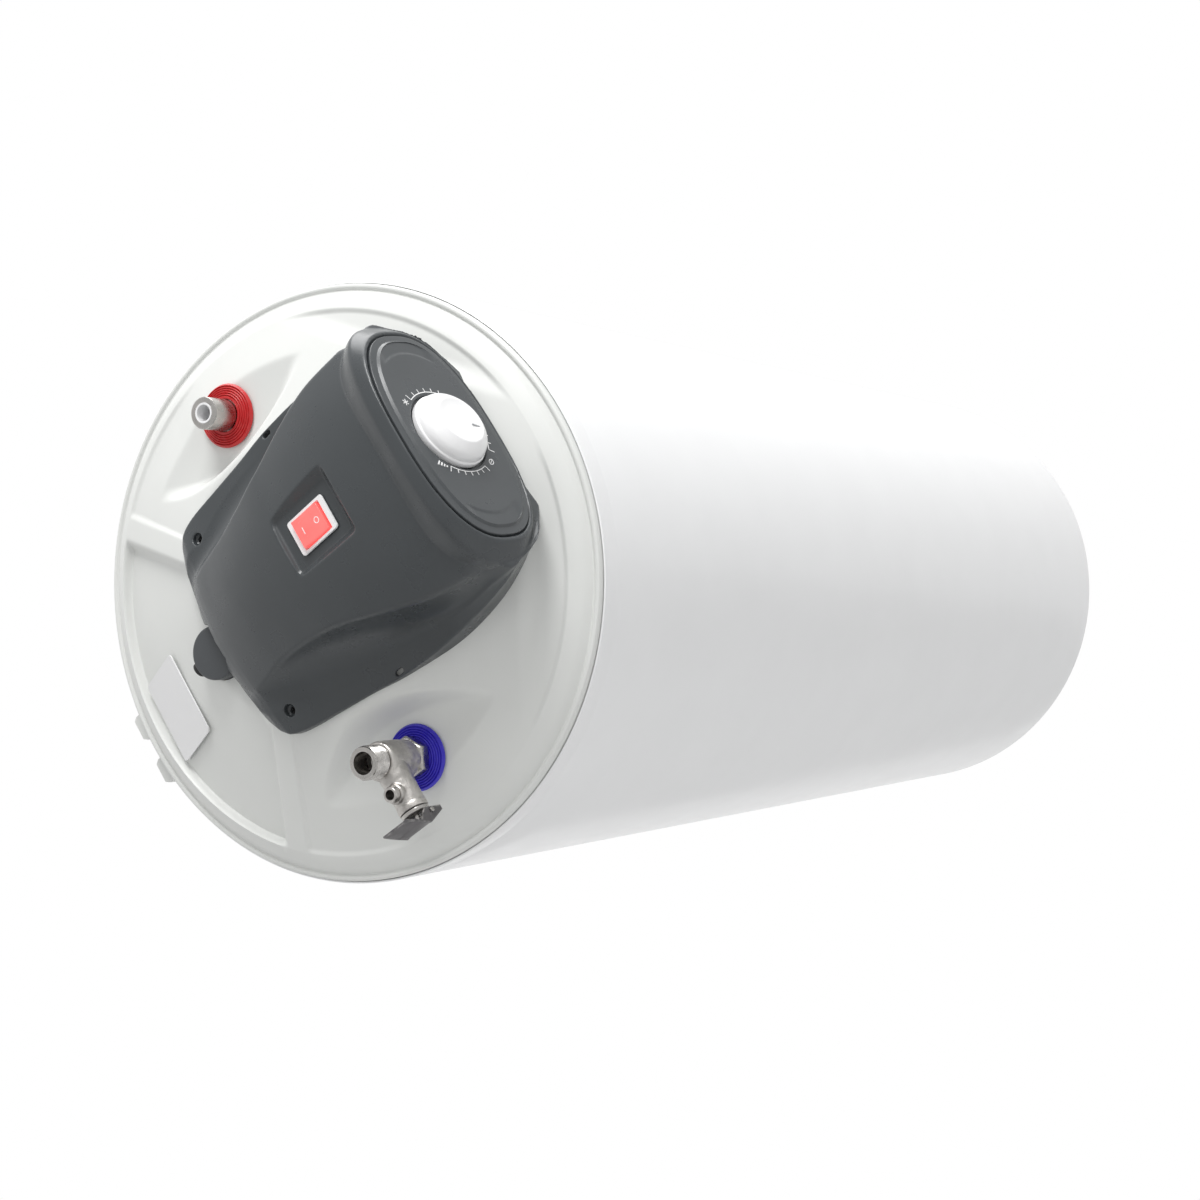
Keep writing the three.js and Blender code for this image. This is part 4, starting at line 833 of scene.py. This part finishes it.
piece(collar("hot_collar", HOT), "heater", ["hot_pipe_collar"], "red_collar")
piece(collar("cold_collar", COLD), "heater", ["cold_pipe_collar"], "blue_collar")


# ---- Safety valve ----
def roughened(ob, amount, scale):
    """Uneven cast skin: moves every point a little along its normal."""
    rng = np.random.default_rng(7)
    waves = rng.normal(size=(10, 3)) * scale
    phases = rng.uniform(0, 2 * math.pi, 10)
    mesh = ob.data
    count = len(mesh.vertices)
    co, normal = np.empty(count * 3), np.empty(count * 3)
    mesh.vertices.foreach_get("co", co)
    mesh.vertices.foreach_get("normal", normal)
    co, normal = co.reshape(-1, 3), normal.reshape(-1, 3)
    height = np.sin(co @ waves.T + phases).sum(1) / 3
    mesh.vertices.foreach_set("co", (co + normal * height[:, None] * amount * 0.001).ravel())
    mesh.update()
    return ob


def valve_body():
    barrel = [(-37.9, 0), (-37.9, 10.6), (-37.3, 11.6), (-36, 12.2), (-33.5, 12.4), (-20, 12.4), (-14, 12),
              (-8, 11.6), (-8, 0)]
    body = lathe("valve_casting", barrel, VALVE, 96)
    outside = [(0, 0), (0, 10.2), (12, 10.2), (16, 9.5), (31, 9.3), (32, 9.6), (35.4, 9.6), (35.4, 0)]
    branch = lathe_z("branch", outside, DOWN, 80)
    shoulder = lathe("shoulder", [(-11.4, 0), (-11.4, 5.4), (-10.6, 6.2), (0, 6.6), (0, 0)], DRAIN, 48)
    combine(body, [branch], "UNION")
    combine(body, [shoulder], "UNION")
    way = lathe("way", [(-60, 0), (-60, 7.4), (-34, 7.4), (-34, 5.5), (0, 5.5), (0, 0)], VALVE, 64)
    relief = lathe_z("relief", [(12, 0), (12, 6.6), (60, 6.6), (60, 0)], DOWN, 48)
    drain = lathe("drain", [(-30, 0), (-30, 3.2), (0, 3.2), (0, 0)], DRAIN, 40)
    combine(body, [way, relief, drain])
    return roughened(soften(body, 0.42, 4, 0.45), 0.07, 900)


piece(valve_body(), "heater", ["safety_valve_body"], "nickel", "cast_nickel")


def hexagon():
    profile = [(-9, 7), (-9, 11.9), (-8.2, 13.4), (-7.6, 14), (-1.4, 14), (-0.8, 13.4), (0, 11.9), (0, 7)]
    return bevelled(lathe("valve_hexagon", profile + [profile[0]], VALVE, 6, 5), 0.45, 3, 20)


piece(hexagon(), "heater", [], "nickel")


def threaded(name, start, end, radius, bore, pitch, depth, at, turns=96):
    """A tube with a real helical thread along x."""
    steps = int((end - start) / pitch * 10)
    xs = np.linspace(start, end, steps)
    angles = 2 * math.pi * np.arange(turns) / turns
    rings = [[(start, bore * math.cos(a), bore * math.sin(a)) for a in angles]]
    for x in xs:
        edge = float(ramp(0, 1.6, x - start) * ramp(0, 1.2, end - x))
        ring = []
        for k, a in enumerate(angles):
            phase = (x / pitch + k / turns) % 1
            r = radius - 0.25 - (depth * (abs(phase - 0.5) * 2) - 0.25) * edge - 0.6 * (1 - edge)
            ring.append((x, r * math.cos(a), r * math.sin(a)))
        rings.append(ring)
    rings.append([(end, bore * math.cos(a), bore * math.sin(a)) for a in angles])
    return loft(name, rings + [rings[0]], at, 40, caps=False)


def nipple():
    profile = [(-15.5, 3.2), (-15.5, 4.5), (-15.2, 4.8), (-13.4, 5.4), (-12.9, 5.35), (-12.5, 4.6),
               (-10.3, 4.6), (-10.2, 3.2)]
    return lathe("drain_hose_nipple", profile + [profile[0]], DRAIN, 64, 30)


def relief_cap():
    profile = [(32.6, 2.1), (32.6, 6), (35.8, 6), (35.8, 9), (38.2, 9), (38.8, 8.2), (38.8, 2.1)]
    profile = rounded(profile, 0.5, 3)
    return lathe_z("relief_cap_disc", profile + [profile[0]], DOWN, 64, 30)


def relief_stem():
    profile = [(14.4, 0), (14.4, 5.2), (18.6, 5.2), (18.6, 1.7), (42.8, 1.7), (43.2, 1.3), (43.2, 0)]
    return lathe_z("relief_stem_rod", rounded(profile, 0.3, 2), DOWN, 48, 30)


def lever_pin():
    profile = [(-12, 0), (-12, 1.5), (-11.2, 1.6), (-11.1, 0.85), (11.1, 0.85), (11.2, 1.6), (12, 1.5),
               (12, 0)]
    return lathe("lever_pin_rivet", rounded(profile, 0.15, 2), PIN, 40, 30)


tail = threaded("valve_tail_thread", -52.5, -38.3, 10.5, 7, 1.8, 0.8, VALVE)
piece(tail, "heater", ["valve_inlet_tail"], "nickel")
piece(nipple(), "heater", ["drain_nipple"], "nickel", "cast_nickel")
piece(relief_cap(), "heater", ["relief_cap"], "nickel")
piece(relief_stem(), "relief_stem", ["relief_stem"], "nickel")
piece(lever_pin(), "relief_stem", ["lever_pin"], "nickel")


def lever():
    heel, corner, tip = (11.4, -0.6), (-5.5, -7.9), (-28.4, -4.6)
    bend = bent((-2.4, -6.6), corner, (-10, -7.25), 7)
    line = np.vstack([heel, (8, -2.1), bend, (-19, -5.95), tip])
    along = np.gradient(line, axis=0)
    along /= np.linalg.norm(along, axis=1)[:, None]
    out = np.column_stack([along[:, 1], -along[:, 0]])
    reach = np.hypot(*(line - line[0]).T)
    rings = []
    for p, n, s in zip(line, out, reach):
        half = 10.8 if s < 36 else 10
        thick = n * 1.2 * (1 if n[1] > 0 else -1)
        a, b = p, p + thick
        rings.append([(a[0], -half, a[1]), (a[0], half, a[1]), (b[0], half, b[1]), (b[0], -half, b[1])])
    strip = loft("relief_lever_sheet", rings, PIVOT)
    cheek = [(11.4, 2.4), (11.4, -0.6), (-5.5, -7.9), (-14, -6.7), (-14, -5), (-5, 2.4)]
    for side in (-1, 1):
        wall = loft("cheek", [[(x, side * y, z) for x, z in cheek] for y in (9.6, 10.8)], PIVOT)
        combine(strip, [wall], "UNION")
    hole = lathe("hole", [(-20, 0), (-20, 1.25), (20, 1.25), (20, 0)], PIN, 32)
    combine(strip, [hole])
    return bevelled(strip, 0.35, 2, 30)


piece(lever(), "relief_lever", ["relief_lever"], "lever_steel")


# ---- Cable gland and its sleeve ----
def gland():
    profile = rounded([(-49.5, 0), (-49.5, GLAND_RADIUS), (-26, GLAND_RADIUS), (-26, 0)], 1.2, 4)
    body = lathe("cable_gland_boss", profile, GLAND, 96)
    across = shifted(-43.4, GLAND_BACK, 0, DRUM) @ Matrix.Rotation(math.pi / 2, 4, "Z")
    bore = lathe("bore", [(-30, 0), (-30, 5.35), (30, 5.35), (30, 0)], across, 48)
    combine(body, [bore])
    sleeve = rounded([(6, 3.4), (6, 4.95), (16, 4.95), (20.5, 5), (20.5, 3.4)], 0.5, 3)
    ring = lathe("cable_sleeve", sleeve + [sleeve[0]], across, 48, 30)
    return bevelled(body, 0.5, 3, 40), ring


gland_body, gland_sleeve = gland()
piece(gland_body, "heater", ["cable_gland_body"], "gland_plastic")
piece(gland_sleeve, "heater", ["cable_gland_sleeve"], "rubber")


# ---- Cover screws ----
for place, level in (("upper", SCREW_HEIGHT), ("lower", -SCREW_HEIGHT)):
    at = shifted(0, SCREW_BACK, level, DRUM)
    head = rounded([(-49.8, 0), (-49.8, 2.6), (-48.6, 3.5), (-47, 3.6), (-47, 0)], 0.4, 3)
    screw = lathe(f"cover_screw_{place}_head", head, at, 48)
    cross = [block("cross", (-50, 0, 0), (2.2, *size), at) for size in ((0.8, 4.4), (4.4, 0.8))]
    combine(screw, cross)
    # the screw heads are painted near-black in place of zinc: painted shade of the deep wells they sit in
    piece(shade(screw, 30), "heater", [f"cover_screw_{place}"], "zinc_steel", "dark_pit")


# ---- Finishes for the CAD nodes, which show where no piece replaces the node ----
for part in frame["record"]["subparts"]:
    finishes = frame["nodes"][part["node"]].data.materials
    finishes.clear()
    finishes.append(LOOKS[part["material_slot"]])


# ---- Floor, light and camera ----
floor_paint, _, floor_shader, _ = new_material("floor_paint")
floor_shader.inputs["Base Color"].default_value = (0.6, 0.6, 0.6, 1)
floor_shader.inputs["Roughness"].default_value = 0.7
floor_points = [(FLOOR_RADIUS * math.cos(a), FLOOR_RADIUS * math.sin(a), FLOOR_LEVEL)
                for a in np.linspace(0, 2 * math.pi, 64, endpoint=False)]
floor = build("floor", floor_points, [tuple(range(64))], Matrix.Identity(4))
floor.data.materials.append(floor_paint)

world = bpy.data.worlds.new("studio")
bpy.context.scene.world = world
world.use_nodes = True
sky = world.node_tree
direction = sky.nodes.new("ShaderNodeTexCoord")
facing = sky.nodes.new("ShaderNodeVectorMath")
facing.operation = "DOT_PRODUCT"
facing.inputs[1].default_value = VIEW_DIRECTION
sky.links.new(direction.outputs["Generated"], facing.inputs[0])
sky.nodes["Background"].inputs["Color"].default_value = (1, 1, 1, 1)
brightness = span(sky, facing.outputs["Value"], -0.2, 0.75, 0.66, 1.0)
sky.links.new(brightness, sky.nodes["Background"].inputs["Strength"])


def area_light(name, place, aim, size, power):
    lamp = bpy.data.lights.new(name, "AREA")
    lamp.shape, lamp.size, lamp.energy = "DISK", size, power
    ob = bpy.data.objects.new(name, lamp)
    ob.location = place
    ob.rotation_euler = (Vector(aim) - Vector(place)).to_track_quat("-Z", "Y").to_euler()
    bpy.context.scene.collection.objects.link(ob)


area_light("key", (-1.9, -1.9, 2.1), (-0.5, -0.2, 0), 1.5, 75)
area_light("overhead", (0.2, -0.9, 2.6), (0, -0.2, 0), 2.2, 45)

lens = bpy.data.cameras.new("camera")
lens.lens, lens.sensor_width = 64.93, 36
camera = bpy.data.objects.new("camera", lens)
right, up, back = (0.4921, -0.7183, -0.4919), (-0.0013, -0.5657, 0.8246), -Vector(VIEW_DIRECTION)
turn = Matrix((right, up, back)).transposed().to_4x4()
camera.matrix_world = Matrix.Translation((-1.6243, -0.8810, -0.4800)) @ turn
bpy.context.scene.collection.objects.link(camera)
bpy.context.scene.camera = camera
bpy.context.scene.view_settings.view_transform = "Standard"
